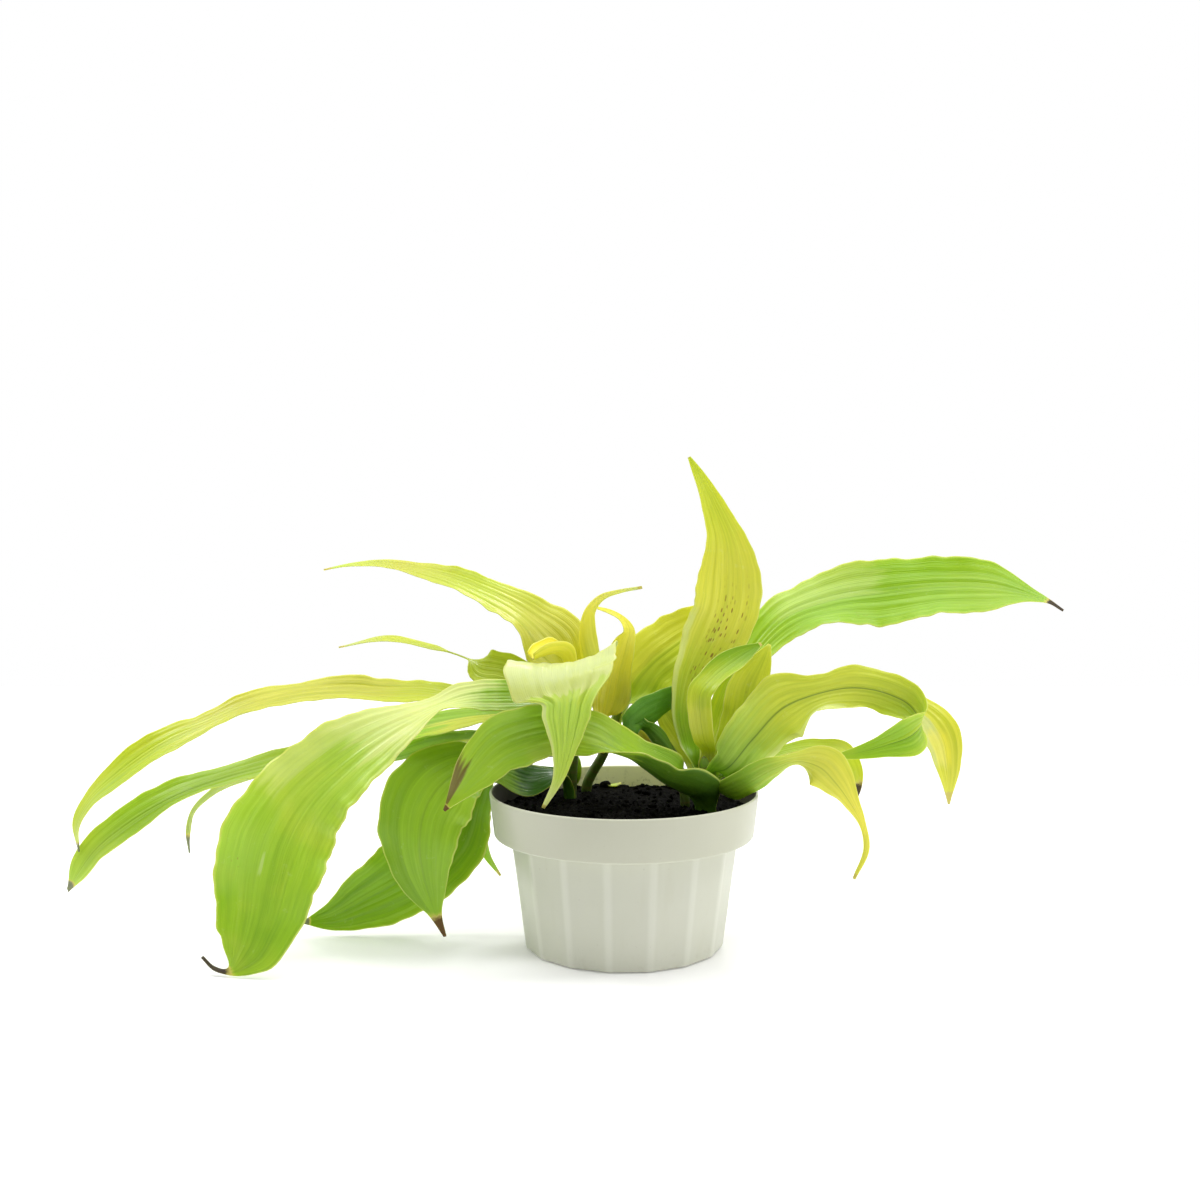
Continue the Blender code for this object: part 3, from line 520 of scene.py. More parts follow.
def leaf_material(name, widest, length, number):
    tones, dried, tip_tone, yellowing, midrib_dark, patches = LOOKS[name]
    look, place = new_look(name + "_look")
    along, across, under, breadth = (
        attribute(look, label) for label in ("along", "across", "under", "breadth")
    )
    side = maths("ABSOLUTE", across)
    # Distances over the blade, in millimetres, squeezed along it so that noise becomes streaks.
    over = times(across, widest / 2)
    streak_at = vector_of(over, times(along, length / STREAK_LENGTH), number * 3.7)
    broad = cloud(streak_at, 0.28, 2.0)
    streak = cloud(streak_at, 0.75, 4.0, 0.6)
    blotch = cloud(place, 38.0, 4.0, 0.6)
    drift = plus(minus(blotch, 0.5), minus(broad, 0.5))
    names = tones.split()
    stops = [(i / (len(names) - 1), tone(label)) for i, label in enumerate(names)]
    colour = ramp(plus(along, times(drift, 0.22)), stops)
    # Yellow patches.
    patch = step(cloud(place, 22.0, 3.0, 0.55), 0.48, 0.7, 0.0, yellowing)
    colour = mix(patch, colour, tone("gold"))
    # Light and dark streaks run the length of the blade, except where it is very narrow.
    open_out = step(breadth, 0.08, 0.4)
    darker = mix(1.0, colour, STREAK_SHADE, "MULTIPLY")
    for texture, none, most, strength, other in (
        (streak, 0.42, 0.74, 0.4, darker),
        (streak, 0.5, 0.24, 0.5, mix(1.0, colour, STREAK_LIGHT, "ADD")),
        (broad, 0.55, 0.7, 0.25, darker),
    ):
        lined = times(step(texture, none, most, 0.0, strength), open_out)
        colour = mix(lined, colour, other)
    # The leaf's own patches, with edges that wander.
    worn_across = plus(across, times(minus(streak, 0.5), 0.3))
    worn_along = plus(along, times(drift, 0.12))
    for first, last, left, right, label, strength, *kind in patches:
        soft = CRISP_EDGE if "crisp" in kind else SOFT_EDGE
        within = times(
            step(worn_along, first - soft, first + soft),
            fall(worn_along, last - soft, last + soft),
            step(worn_across, left - SIDE_EDGE, left + SIDE_EDGE),
            fall(worn_across, right - SIDE_EDGE, right + SIDE_EDGE),
        )
        if "under" in kind:
            within = times(within, under)
        colour = tint(colour, within, strength, label)
    colour = tint(colour, fall(side, 0.0, 0.05), midrib_dark, "shade")
    colour = tint(colour, step(side, 0.945, 0.99), 0.5, "margin")
    # The underside is duller.
    dull = mix(0.1, mix(1.0, colour, UNDER_SHADE, "MULTIPLY"), tone("dull"))
    colour = mix(times(under, 0.55), colour, dull)
    # Small cloudy marks.
    mark = step(cloud(place, 230.0, 3.0, 0.7), 0.62, 0.76, 0.0, 0.12)
    colour = mix(mark, colour, tone("cream"))
    # A few brown specks, many of them on the old upright leaf.
    speck_at = vector_of(over, times(along, length / SPECK_LENGTH), number * 1.3)
    spots = add(look.node_tree, "TexVoronoi", {"Vector": speck_at, "Scale": 0.85})
    centre = spots.outputs["Distance"]
    if name == "leaf_tall_upright":
        dot = fall(centre, 0.2, 0.36)
        zone = times(
            step(along, 0.26, 0.36),
            fall(along, 0.52, 0.66),
            step(across, -0.5, -0.1),
            fall(across, 0.55, 0.75),
            step(cloud(streak_at, 0.5, 2.0), 0.38, 0.5),
        )
    else:
        dot = fall(centre, 0.08, 0.2)
        zone = step(cloud(place, 60.0), 0.66, 0.72)
    colour = tint(colour, times(dot, zone), 0.85, "speck")
    # The tip has dried, with a ragged limit.
    ragged = times(minus(cloud(place, 160.0, 4.0, 0.65), 0.5), dried)
    drying = step(plus(along, ragged), 0.998 - dried * 1.5, 1.0 - dried * 0.7)
    tip = ramp(drying, [(0.0, tone("gold")), (0.4, tone("straw")), (0.75, tone(tip_tone))])
    colour = mix(step(drying, 0.0, 0.4), colour, tip)
    rough = plus(plus(times(streak, 0.22), 0.24), times(under, 0.14))
    rough = plus(rough, times(drying, 0.3), clamp=True)
    vein = maths("COSINE", times(over, math.tau / VEIN_STEP))
    relief = plus(plus(streak, times(broad, 1.6)), times(vein, 0.05))
    relief = times(relief, times(breadth, open_out))
    fine = bump(times(cloud(place, 900.0, 2.0), open_out), 0.12, 0.0002)
    values = {
        "Base Color": colour,
        "Roughness": rough,
        "Normal": bump(relief, 0.45, 0.0007, fine),
        "Subsurface Weight": 0.35,
        "Subsurface Radius": (1.0, 1.0, 0.15),
        "Subsurface Scale": 0.002,
        "Specular IOR Level": 0.4,
    }
    return feed(look, values)


def pot_material():
    look, place = new_look("pot_plastic_look")
    x, y, height = add(look.node_tree, "SeparateXYZ", {0: place}).outputs
    stops = [(0.3, tone("plastic")), (0.7, tone("plastic_light"))]
    colour = ramp(cloud(place, 16.0, 4.0, 0.55), stops)
    flow = cloud(squeezed(place, (1, 1, 0.12)), 120.0, 4.0, 0.6)
    colour = mix(step(flow, 0.5, 0.75, 0.0, 0.14), colour, tone("yellowed"))
    # Soil clings to the inner wall low down; its left and right ends are darkened by soil and by
    # painted shade. Places are in metres.
    grime = step(cloud(place, 210.0, 5.0, 0.7), 0.52, 0.72)
    flat = {0: place, 1: (1, 1, 0)}
    flat = add(look.node_tree, "VectorMath", flat, operation="MULTIPLY").outputs[0]
    radius = add(look.node_tree, "VectorMath", {0: flat}, operation="LENGTH")
    flare = (RIM_RADIUS - BAND_BOTTOM_RADIUS) / (POT_HEIGHT - BAND_BOTTOM)
    wall = minus(radius.outputs["Value"], times(height, flare))
    outside = (RIM_RADIUS - POT_HEIGHT * flare) * MM
    inner = fall(wall, outside - 1.2 * MM, outside - 0.7 * MM)
    inner = times(inner, step(height, 0.052, 0.056))
    low = step(height, 0.0595, 0.0655, 1.0, 0.15)
    ends = step(maths("ABSOLUTE", x), 0.023, 0.034)
    soil_and_shade = times(inner, maths("MAXIMUM", times(low, grime), ends))
    # The inner wall is painted paler than the outside: painted light that lifts the shade the
    # leaves cast inside the pot.
    colour = tint(colour, inner, 0.9, "wall")
    # Soil stains, and painted shade at the wall's left and right ends.
    colour = tint(colour, soil_and_shade, 0.95, "stain_and_shade")
    # Painted shade: the band, whose flare faces a little downward, is painted a little darker than
    # the facets.
    band = step(height, BAND_BOTTOM * MM, (BAND_BOTTOM + 1) * MM)
    colour = tint(colour, times(band, minus(1.0, inner)), 0.45, "band")
    # Painted highlight: the facets' soft edges are painted a little lighter.
    turn = times(minus(maths("ARCTAN2", y, x), FACET_TURN), FACETS / math.tau)
    edge = maths("ABSOLUTE", minus(maths("FRACT", turn), 0.5))
    edge = times(step(edge, 0.36, 0.47), fall(height, 0.049, 0.0505))
    colour = tint(colour, edge, 0.24, "edge")
    # Dust at the foot, and small specks everywhere.
    colour = tint(colour, times(fall(height, 0.0, 0.012), grime), 0.16, "dust")
    speck = step(cloud(place, 700.0, 2.0, 0.8), 0.7, 0.76, 0.0, 0.25)
    colour = mix(speck, colour, tone("dirt"))
    scratches = cloud(squeezed(place, (1, 1, 6), (0.3, 0.2, 0)), 340.0, 3.0, 0.7)
    rough = plus(times(scratches, 0.22), 0.24)
    ripple = bump(cloud(place, 55.0, 2.0), 0.25, 0.0006)
    values = {
        "Base Color": colour,
        "Roughness": plus(rough, times(soil_and_shade, 0.4), clamp=True),
        "Normal": bump(scratches, 0.08, 0.0002, ripple),
        "Subsurface Weight": 0.12,
        "Subsurface Radius": (1.0, 1.0, 0.8),
        "Subsurface Scale": 0.002,
    }
    return feed(look, values)


def soil_material():
    look, place = new_look("potting_soil_look")
    coarse = cloud(place, 260.0, 6.0, 0.7)
    fibre = squeezed(place, (1, 5, 3), (0.5, 0.4, 0.9))
    strand = step(cloud(fibre, 330.0, 2.0), 0.69, 0.74, 0.0, 0.5)
    grain = cloud(place, 1500.0, 3.0, 0.7)
    values = {
        "Base Color": mix(strand, ramp(coarse, SOIL_TONES), FIBRE_TONE),
        "Roughness": step(grain, 0.3, 0.7, 0.72, 1.0),
        "Normal": bump(grain, 0.6, 0.0004, bump(coarse, 0.9, 0.0012)),
        "Specular IOR Level": 0.06,
    }
    return feed(look, values)


def stem_material():
    look, place = new_look("stem_green_look")
    along, ring = attribute(look, "along"), attribute(look, "ring")
    streak = cloud(squeezed(place, (1, 1, 0.2)), 650.0, 4.0, 0.6)
    stops = [(0.0, "foot"), (0.3, "low"), (0.7, "high"), (1.0, "top")]
    stops = [(height, tone("stem_" + part)) for height, part in stops]
    colour = ramp(plus(along, times(minus(streak, 0.5), 0.5)), stops)
    colour = tint(colour, ring, 0.7, "scar")
    blotch = step(cloud(place, 190.0, 4.0, 0.6), 0.5, 0.68, 0.0, 0.4)
    values = {
        "Base Color": mix(blotch, colour, tone("stem_blotch")),
        "Roughness": step(streak, 0.3, 0.7, 0.38, 0.58),
        "Normal": bump(streak, 0.4, 0.0003),
        "Subsurface Weight": 0.08,
        "Subsurface Radius": (0.7, 1.0, 0.3),
        "Subsurface Scale": 0.001,
    }
    return feed(look, values)


# Shapes.
def spans_of(points):
    """The distances from each point to the next."""
    return np.linalg.norm(np.diff(points, axis=0), axis=1)


def unit(vectors):
    return vectors / np.linalg.norm(vectors, axis=-1, keepdims=True)


def smooth_path(rows, count):
    """Evenly spaced rows along a smooth curve through these; each starts with its point."""
    rows = np.array(rows, float)
    spans = spans_of(rows[:, :3])
    slopes = np.diff(rows, axis=0) / spans[:, None]
    tangents = np.vstack([slopes[:1], slopes[:1].repeat(len(rows) - 2, 0), slopes[-1:]])
    weights = spans[:-1] + spans[1:]
    tangents[1:-1] = slopes[:-1] * (spans[1:] / weights)[:, None]
    tangents[1:-1] += slopes[1:] * (spans[:-1] / weights)[:, None]
    stops = np.concatenate([[0], np.cumsum(spans)])
    places = np.linspace(0, stops[-1], count)
    index = np.clip(np.searchsorted(stops, places, side="right") - 1, 0, len(spans) - 1)
    span = spans[index][:, None]
    part = ((places - stops[index]) / spans[index])[:, None]
    start, end = rows[index], rows[index + 1]
    out, back = tangents[index] * span, tangents[index + 1] * span
    path = (2 * part**3 - 3 * part**2 + 1) * start + (part**3 - 2 * part**2 + part) * out
    path += (3 * part**2 - 2 * part**3) * end + (part**3 - part**2) * back
    return path


def stem_middle(stem, height):
    """The middle of a stem at a height, carried on straight past its top."""
    points = np.array(STEMS[stem][1], float)
    below = min(max(int(np.searchsorted(points[:, 2], height)) - 1, 0), len(points) - 2)
    first, second = points[below], points[below + 1]
    return first + (second - first) * (height - first[2]) / (second[2] - first[2])


def leaf_rows(name, leaf):
    """A leaf's rows and the three of its sheath: x, y, z, width, roll, heading, cup."""
    stem, height, facing, heading, cup, rows = leaf
    layer, width, foot_cup, lift = CLASP.get(name, (0, SHEATH_WIDTH, 80, RISE))
    around = unit(stem_middle(stem, height + lift) - stem_middle(stem, height))
    way = np.array([math.cos(math.radians(facing)), math.sin(math.radians(facing)), 0])
    way = unit(way - around * way.dot(around))
    near = STEMS[stem][0] + GAP + BLADE / 2 + layer
    foot = stem_middle(stem, height) + way * (near + 0.1)
    rise = stem_middle(stem, height + lift) + way * (near + SPREAD)
    # The sheath goes round its side of the stem, and down into the soil where it starts low.
    depth = SHEATH_DEPTH if height > LOW_BASE else height - SOIL_LEVEL + SHEATH_BURIED
    sheath = stem_middle(stem, height - depth) + way * near
    wrap = (near + BLADE / 2) * math.radians(SHEATH_CUP)
    start = wrap * 0.35 if height > LOW_BASE else wrap
    full = [
        (*sheath, start, 0, facing, SHEATH_CUP),
        (*foot, wrap, 0, facing, SHEATH_CUP),
        (*rise, width, 0, facing, foot_cup),
    ]
    for row in rows:
        turn = row[5] if len(row) > 5 else 0
        own_cup = row[6] if len(row) > 6 else cup
        full.append((*row[:5], heading + turn, own_cup))
    return full


def leaf_grid(name, leaf, count, columns, seed):
    """Points of a blade, from base to tip and from edge to edge, in millimetres."""
    path = smooth_path(leaf_rows(name, leaf), count)
    along = unit(np.gradient(path[:, :3], axis=0))
    sides = np.linspace(-1, 1, columns)
    length = spans_of(path[:, :3]).sum()
    round_length = math.tau * length
    waves = 2 + 0.012 * length
    ruffles = length / RUFFLE_STEP
    wavy = WAVY.get(name, 1)
    extra, pleated_from = PLEATED.get(name, (0, 1))
    phases = np.random.default_rng(seed + 11).uniform(0, math.tau, 12)
    wave_phase = np.where(sides > 0, seed * 1.7, seed * 2.9 + 1.3)
    phase = np.where(sides > 0, phases[0], phases[1])
    swell_phase = np.where(sides > 0, phases[2], phases[4])
    grid = np.zeros((count, columns, 3))
    for i, (x, y, z, width, roll, heading, cup) in enumerate(path):
        t = i / (count - 1)
        forward = along[i]
        turn = math.radians(heading)
        across = np.array([math.sin(turn), -math.cos(turn), 0])
        across = unit(across - forward * across.dot(forward))
        up = np.cross(across, forward)
        lean = math.radians(roll)
        across, up = (
            across * math.cos(lean) + up * math.sin(lean),
            up * math.cos(lean) - across * math.sin(lean),
        )
        settled = min(t / SETTLE, 1.0)
        settled = settled * settled * (3 - 2 * settled)
        calm = settled * math.sin(math.pi * t) ** 0.5
        width = max(width, TIP_WIDTH)
        bend = math.radians(max(cup, 10))
        radius = width / bend
        out = radius * np.sin(sides * bend / 2)
        rise = radius * (1 - np.cos(sides * bend / 2))
        rise -= settled * radius * (1 - math.cos(bend / 2)) / 2
        ripple = np.sin(math.tau * waves * t + wave_phase) * sides**2
        rise += WAVE_DEPTH * wavy * width * calm * ripple
        # Finer ruffles and nicks at the margins, long pleats, and a groove along the midrib.
        swell = 0.5 + 0.5 * np.sin(math.tau * SWELLS * t + swell_phase)
        curl = np.sin(math.tau * ruffles * t + phase + 1.5 * np.sin(9 * t + phase))
        rise += RUFFLE_DEPTH * width * calm * swell * curl * np.abs(sides) ** 3
        nick = np.sin(round_length * t / NICK_STEP + phases[5] + 2 * np.sin(7 * t + phase))
        nick += 0.6 * np.sin(round_length * t / FINE_NICK_STEP + phases[6] + phase)
        scallop = np.sin(round_length * t / SCALLOP_STEP + phases[9] + phase)
        edge = NICK_DEPTH * nick + SCALLOP_DEPTH * (wavy - 1) * scallop
        out *= 1 + calm * sides**2 * edge
        pleats = np.cos(math.pi * sides * 5.5 + 0.7 * math.sin(4 * t + phases[3]))
        pleats += 0.7 * np.cos(math.pi * sides * 9.7 + phases[7] + math.sin(6 * t + phases[8]))
        depth = min(PLEAT_DEEPEST, PLEAT_DEPTH * width)
        depth *= 1 + extra * min(max((t - pleated_from) / 0.04, 0), 1)
        rise += depth * calm * pleats * (1 - sides**4)
        groove = min(GROOVE_DEEPEST, GROOVE_DEPTH * width) * settled
        rise -= groove * np.exp(-((sides / GROOVE_WIDTH) ** 2))
        grid[i] = np.array([x, y, z]) + np.outer(out, across) + np.outer(rise, up)
    return grid


def sheet_faces(rows, columns):
    """Faces of a closed sheet: the grid of points on its upper face, then that on its lower."""
    size = rows * columns
    place = np.arange(size).reshape(rows, columns)
    corners = [place[:-1, :-1], place[:-1, 1:], place[1:, 1:], place[1:, :-1]]
    top = np.stack(corners, axis=2).reshape(-1, 4)
    loop = np.concatenate([place[0], place[1:, -1], place[-1, -2::-1], place[-2:0:-1, 0]])
    after = np.roll(loop, -1)
    rim = np.stack([after, loop, loop + size, after + size], axis=1)
    return np.concatenate([top, top[:, ::-1] + size, rim])


def sheet_values(rows, columns):
    """How far along (0 to 1) and across (-1 to 1) such a sheet each point is."""
    along = np.tile(np.repeat(np.linspace(0, 1, rows), columns), 2)
    return along, np.tile(np.linspace(-1, 1, columns), 2 * rows)


def place_object(name, data):
    made = bpy.data.objects.new(name, data)
    bpy.context.scene.collection.objects.link(made)
    return made


def mesh_piece(name, node_names, verts, faces, attributes, look):
    mesh = bpy.data.meshes.new(name)
    low = np.array(CAD_LOW) + BOX_MARGIN
    high = np.array(CAD_HIGH) - BOX_MARGIN
    mesh.from_pydata(np.clip(np.asarray(verts) * MM, low, high).tolist(), [], faces)
    for label, values in attributes.items():
        kept = mesh.attributes.new(label, "FLOAT", "POINT")
        kept.data.foreach_set("value", np.asarray(values, np.float32).ravel())
    mesh.materials.append(look)
    mesh.shade_smooth()
    piece = place_object(name, mesh)
    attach(piece, "root")
    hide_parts(*node_names)


def make_leaf(name, leaf, number):
    length = spans_of(np.array(leaf_rows(name, leaf))[:, :3]).sum()
    widest = max(row[3] for row in leaf[5])
    count = int(min(max(length / ROW_STEP, 30), 190))
    columns = 2 * int(min(max(widest / COLUMN_STEP, 6), 20)) + 1
    middle = leaf_grid(name, leaf, count, columns, number)
    normal = unit(np.cross(np.gradient(middle, axis=1), np.gradient(middle, axis=0)))
    sides = np.linspace(-1, 1, columns)
    half = 0.5 * (MARGIN_THICKNESS + MIDDLE_EXTRA * (1 - sides**2))[None, :, None]
    verts = np.concatenate([middle + normal * half, middle - normal * half]).reshape(-1, 3)
    along, across = sheet_values(count, columns)
    spread = np.linalg.norm(np.diff(middle, axis=1), axis=2).sum(axis=1)
    attributes = {
        "along": along,
        "across": across,
        "under": np.repeat([0, 1], count * columns),
        "breadth": np.tile(np.repeat(np.clip(spread / widest, 0.0, 1.0), columns), 2),
    }
    faces = sheet_faces(count, columns).tolist()
    look = leaf_material(name, widest, length, number)
    mesh_piece(name + "_blade", [name], verts, faces, attributes, look)


def make_scrap():
    """A scrap of pale leaf on the soil: a small dished blade with a torn edge."""
    rows, columns = 26, 15
    grid = np.zeros((rows, columns, 3))
    for i in range(rows):
        t = i / (rows - 1)
        for j in range(columns):
            s = 2 * j / (columns - 1) - 1
            half = 2.2 * math.sin(math.pi * min(max(t, 0.06), 0.94)) ** 0.6
            half *= 1 + 0.12 * math.sin(17 * t + 2 * s)
            grid[i, j] = (7.4 * (t - 0.5), half * s, 0.9 * (t - 0.4) ** 2 * 3 + 0.35 * s * s)
    grid = grid @ turned_by(math.radians(20)) + SCRAP_PLACE
    verts = np.concatenate([grid + SCRAP_HALF, grid - SCRAP_HALF]).reshape(-1, 3)
    along, across = sheet_values(rows, columns)
    attributes = {"along": along * 0.9, "across": across, "under": np.zeros(len(along))}
    faces = sheet_faces(rows, columns)[:, ::-1].tolist()
    name = "leaf_scrap"
    look = leaf_material(name, widest=4.5, length=7.5, number=40)
    mesh_piece(name + "_blade", [name], verts, faces, attributes, look)


def make_stem(name, radius, points, look, number):
    path = smooth_path([(*point, 0) for point in points], STEM_ROWS)[:, :3]
    ahead = unit(np.gradient(path, axis=0))
    side = unit(np.cross(ahead, np.array([0.0, 1.0, 0.0])))
    other = np.cross(ahead, side)
    angles = np.linspace(0, math.tau, STEM_COLUMNS, endpoint=False)
    run = np.concatenate([[0], np.cumsum(spans_of(path))])
    ring = np.exp(-(((run + number) % SCAR_STEP - SCAR_STEP / 2) / SCAR_WIDTH) ** 2)
    part = np.linspace(0, 1, len(path))
    width = radius * (1 - STEM_TAPER * part) * (0.965 + 0.05 * ring)
    width *= np.where(part > 1 - STEM_TOP, np.sqrt(np.clip((1.0 - part) / STEM_TOP, 0.02, 1)), 1)
    lumps = 0.02 * np.sin(3 * angles[None, :] + 0.7 * run[:, None])
    wide = width[:, None] * (1 + lumps * np.cos(angles[None, :] * 2 + number))
    verts = path[:, None] + side[:, None] * (wide * np.cos(angles))[..., None]
    verts = verts + other[:, None] * (wide * np.sin(angles))[..., None]
    place = np.arange(wide.size).reshape(wide.shape)
    after = np.roll(place, -1, axis=1)
    faces = np.stack([place[:-1], after[:-1], after[1:], place[1:]], axis=2).reshape(-1, 4).tolist()
    faces += [place[0][::-1].tolist(), place[-1].tolist()]
    attributes = {"along": np.repeat(part, STEM_COLUMNS), "ring": np.repeat(ring, STEM_COLUMNS)}
    verts = verts.reshape(-1, 3)
    mesh_piece(name + "_stalk", [name], verts, faces, attributes, look)


def lump(x, y, scale, layer):
    return noise.noise(Vector((x * scale, y * scale, layer)))


def soil_height(x, y):
    height = SOIL_LEVEL + SOIL_ROUGHNESS * (lump(x, y, 0.13, 4.0) + 0.7 * lump(x, y, 0.41, 9.0))
    height += 0.75 * lump(x, y, 0.9, 2.0)
    height += 0.45 * abs(lump(x, y, 2.1, 7.0))
    return height + 0.25 * lump(x, y, 4.5, 1.0)


def turned_by(angle):
    """Turns rows of points about Z when they are multiplied by it."""
    c, s = math.cos(angle), math.sin(angle)
    return np.array([[c, s, 0], [-s, c, 0], [0, 0, 1]])


def make_soil(look):
    verts = [(0, 0, soil_height(0, 0))]
    for i in range(1, SOIL_RINGS + 1):
        radius = SOIL_RADIUS * (i / SOIL_RINGS) ** 0.8
        for j in range(SOIL_STEPS):
            angle = math.tau * (j + 0.5 * (i % 2)) / SOIL_STEPS
            x, y = radius * math.cos(angle), radius * math.sin(angle)
            verts.append((x, y, soil_height(x, y)))
    last = len(verts) - SOIL_STEPS
    verts += [(x * 0.98, y * 0.98, SOIL_LEVEL - SOIL_DEPTH) for x, y, _ in verts[last:]]
    # From ring to ring, each step with the next; then the wall and the underside.
    steps = [(j, (j + 1) % SOIL_STEPS) for j in range(SOIL_STEPS)]
    faces = [(0, 1 + j, 1 + after) for j, after in steps]
    for start in range(1, last, SOIL_STEPS):
        beyond = start + SOIL_STEPS
        faces += [(start + j, beyond + j, beyond + after, start + after) for j, after in steps]
    under = last + SOIL_STEPS
    faces += [(last + j, under + j, under + after, last + after) for j, after in steps]
    faces.append([under + j for j in reversed(range(SOIL_STEPS))])
    # Loose crumbs of every size lie on top.
    ball = bmesh.new()
    bmesh.ops.create_icosphere(ball, subdivisions=2, radius=1)
    shape = np.array([v.co for v in ball.verts])
    triangles = np.array([[v.index for v in f.verts] for f in ball.faces])
    ball.free()
    draw = np.random.default_rng(5)
    crumbs = list(CLODS)
    for _ in range(CRUMBS):
        radius = SOIL_RADIUS * math.sqrt(draw.uniform(0, 0.97))
        angle = draw.uniform(0, math.tau)
        size = min(CRUMB_SIZE * math.exp(draw.normal(0, 0.55)), CRUMB_LARGEST)
        if radius + size < SOIL_RADIUS - 0.2:
            crumbs.append((radius * math.cos(angle), radius * math.sin(angle), size))
    for x, y, size in crumbs:
        stretch = draw.uniform(0.6, 1.3, 3)
        offset = Vector(draw.uniform(0, 50, 3))
        rough = np.array([1 + 0.55 * noise.noise(Vector(p) * 1.6 + offset) for p in shape])
        body = shape * rough[:, None] * stretch * size
        middle = np.array([x, y, soil_height(x, y) + 0.35 * size])
        faces += (triangles + len(verts)).tolist()
        verts += (body @ turned_by(draw.uniform(0, math.tau)) + middle).tolist()
    mesh_piece("soil_surface", ["soil"], verts, faces, {}, look)


def turned(name, profile):
    """A solid turned about Z from (radius, height) points that run from the top down."""
    bm = bmesh.new()
    points = [bm.verts.new((radius * MM, 0, height * MM)) for radius, height in profile]
    for first, second in zip(points, points[1:]):
        bm.edges.new((first, second))
    mesh = bpy.data.meshes.new(name)
    bm.to_mesh(mesh)
    bm.free()
    made = place_object(name, mesh)
    screw = made.modifiers.new("Turn", "SCREW")
    screw.steps = screw.render_steps = TURN_STEPS
    screw.use_merge_vertices = True
    screw.merge_threshold = 0.00001
    return made


def arc(middle, radius, start, end):
    """Points on an arc of a profile, angles in degrees from +X."""
    turn = (end - start) / ARC_STEPS
    angles = [math.radians(start + turn * i) for i in range(ARC_STEPS + 1)]
    return [(middle[0] + radius * math.cos(a), middle[1] + radius * math.sin(a)) for a in angles]


def make_pot(look):
    bpy.ops.mesh.primitive_cone_add(
        vertices=FACETS,
        radius1=FACET_BASE_RADIUS * MM,
        radius2=FACET_TOP_RADIUS * MM,
        depth=BAND_BOTTOM * MM,
        location=(0, 0, BAND_BOTTOM * MM / 2),
        rotation=(0, 0, FACET_TURN),
    )
    pot = bpy.context.object
    pot.name = "pot_shell"
    soft = pot.modifiers.new("Soft facets", "BEVEL")
    soft.width = 1.5 * MM
    soft.segments = 4
    soft.limit_method = "ANGLE"
    soft.angle_limit = math.radians(15)
    band = turned(
        "band_outline",
        [(0, POT_HEIGHT)]
        + arc((RIM_RADIUS - RIM_ROUND, POT_HEIGHT - RIM_ROUND), RIM_ROUND, 90, 0)
        + arc((BAND_BOTTOM_RADIUS - BAND_ROUND, BAND_BOTTOM + BAND_ROUND), BAND_ROUND, 0, -90)
        + [(FACET_TOP_RADIUS - 2.6, BAND_BOTTOM), (FACET_TOP_RADIUS - 3.4, BAND_BOTTOM - 1.5)]
        + [(0, BAND_BOTTOM - 1.5)],
    )
    bore = RIM_RADIUS - BAND_WALL
    hollow = turned(
        "hollow_outline",
        [
            (0, POT_HEIGHT + 2),
            (bore + 2.7, POT_HEIGHT + 2),
            (bore + 0.5, POT_HEIGHT - 0.1),
            (bore + 0.12, POT_HEIGHT - 0.35),
            (bore, POT_HEIGHT - BAND_WALL / 2),
            (BAND_BOTTOM_RADIUS - BAND_WALL, BAND_BOTTOM + SHELF),
            (INNER_TOP_RADIUS, BAND_BOTTOM + SHELF - 0.2),
            (INNER_BASE_RADIUS, FLOOR),
            (0, FLOOR),
        ],
    )
    for other, operation in ((band, "UNION"), (hollow, "DIFFERENCE")):
        boolean = pot.modifiers.new(operation.title(), "BOOLEAN")
        boolean.operation = operation
        boolean.object = other
    graph = bpy.context.evaluated_depsgraph_get()
    mesh = bpy.data.meshes.new_from_object(pot.evaluated_get(graph))
    mesh.transform(pot.matrix_world)
    pot.modifiers.clear()
    pot.data = mesh
    pot.matrix_world.identity()
    for helper in (band, hollow):
        bpy.data.objects.remove(helper, do_unlink=True)
    mesh.materials.clear()
    mesh.materials.append(look)
    mesh.shade_smooth()
    mesh.set_sharp_from_angle(angle=math.radians(28))
    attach(pot, "root")
    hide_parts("pot")


make_pot(pot_material())
make_soil(soil_material())
stem_look = stem_material()
for number, (stem_name, (stem_radius, stem_points)) in enumerate(STEMS.items()):
    make_stem(stem_name, stem_radius, stem_points, stem_look, number)
for number, (leaf_name, leaf) in enumerate(LEAVES.items()):
    make_leaf(leaf_name, leaf, number)
make_scrap()


# Floor, light and camera.
def floor_material():
    look, place = new_look("floor_look")
    stops = [(0.3, (0.9, 0.9, 0.9, 1)), (0.7, (0.92, 0.92, 0.92, 1))]
    values = {
        "Base Color": ramp(cloud(place, 3.0), stops),
        "Roughness": 0.7,
        "Specular IOR Level": 0.2,
        "Emission Color": (1, 1, 1, 1),
        "Emission Strength": 0.12,
    }
    return feed(look, values)


def light(name, kind, power):
    data = bpy.data.lights.new(name, kind)
    data.energy = power
    return data, place_object(name, data)


def disk_light(name, place, aim, size, power):
    data, made = light(name, "AREA", power)
    data.shape = "DISK"
    data.size = size
    made.location = place
    made.rotation_euler = (Vector(aim) - Vector(place)).to_track_quat("-Z", "Y").to_euler()


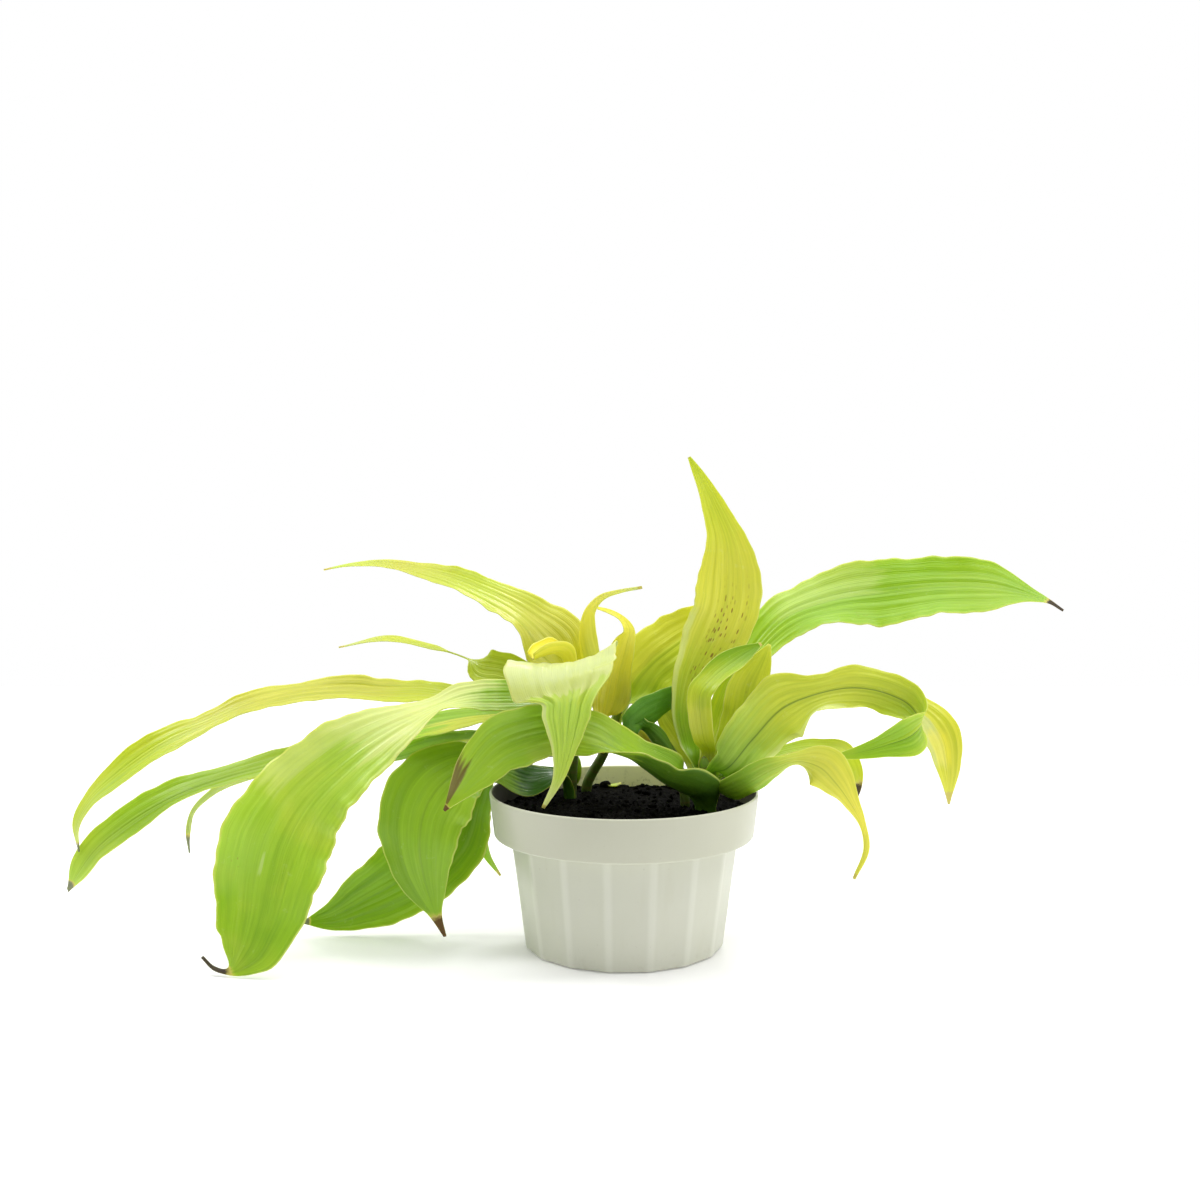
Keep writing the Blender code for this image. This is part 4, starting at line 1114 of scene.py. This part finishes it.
bpy.ops.mesh.primitive_plane_add(size=GROUND_SIZE, location=(0, 0, -0.0003))
ground = bpy.context.object
ground.name = "floor"
ground.data.materials.append(floor_material())

# A dark card stands in front, past the camera and out of its sight, as the unlit side of a room.
card_points = []
for i in range(CARD_ROWS + 1):
    lift = CARD_RISE * i / CARD_ROWS
    flat, z = CARD_RADIUS * math.cos(lift), CARD_RADIUS * math.sin(lift)
    for j in range(CARD_COLUMNS + 1):
        angle = CARD_FROM + (CARD_TO - CARD_FROM) * j / CARD_COLUMNS
        card_points.append((flat * math.cos(angle), flat * math.sin(angle), z))
card_row = CARD_COLUMNS + 1
card_starts = [card_row * i + j for i in range(CARD_ROWS) for j in range(CARD_COLUMNS)]
card_faces = [(k, k + 1, k + card_row + 1, k + card_row) for k in card_starts]
card_mesh = bpy.data.meshes.new("card")
card_mesh.from_pydata(card_points, [], card_faces)
card = place_object("card", card_mesh)
card.visible_camera = False
card_look, _ = new_look("card_look")
feed(card_look, {"Base Color": (0.3, 0.3, 0.3, 1), "Roughness": 1.0})
card_mesh.materials.append(card_look)

world = bpy.data.worlds.new("studio")
world.use_nodes = True
fill(world.node_tree.nodes["Background"].inputs, {"Color": (1, 1, 1, 1), "Strength": 1.0})
bpy.context.scene.world = world
bpy.context.scene.view_settings.view_transform = "Standard"

disk_light("key", (0.75, -0.15, 1.0), (0, 0, 0.08), 0.25, 2.0)
disk_light("back", (0.2, 0.8, 0.9), (0, 0, 0.12), 0.25, 2.4)
disk_light("left", (-0.7, 0.2, 0.9), (-0.1, 0, 0.08), 0.2, 2.6)
sky, _ = light("sky", "SUN", 1.3)
sky.angle = math.radians(60)

# The camera looks along +Y and 4.5 degrees down from 0.67 m.
lens = bpy.data.cameras.new("camera")
lens.lens = FOCAL
lens.sensor_width = SENSOR
lens.clip_start = 0.01
camera = place_object("camera", lens)
camera.location = CAMERA_PLACE
camera.rotation_euler = (math.radians(90 - CAMERA_DOWN), 0, 0)
bpy.context.scene.camera = camera

bpy.context.view_layer.update()
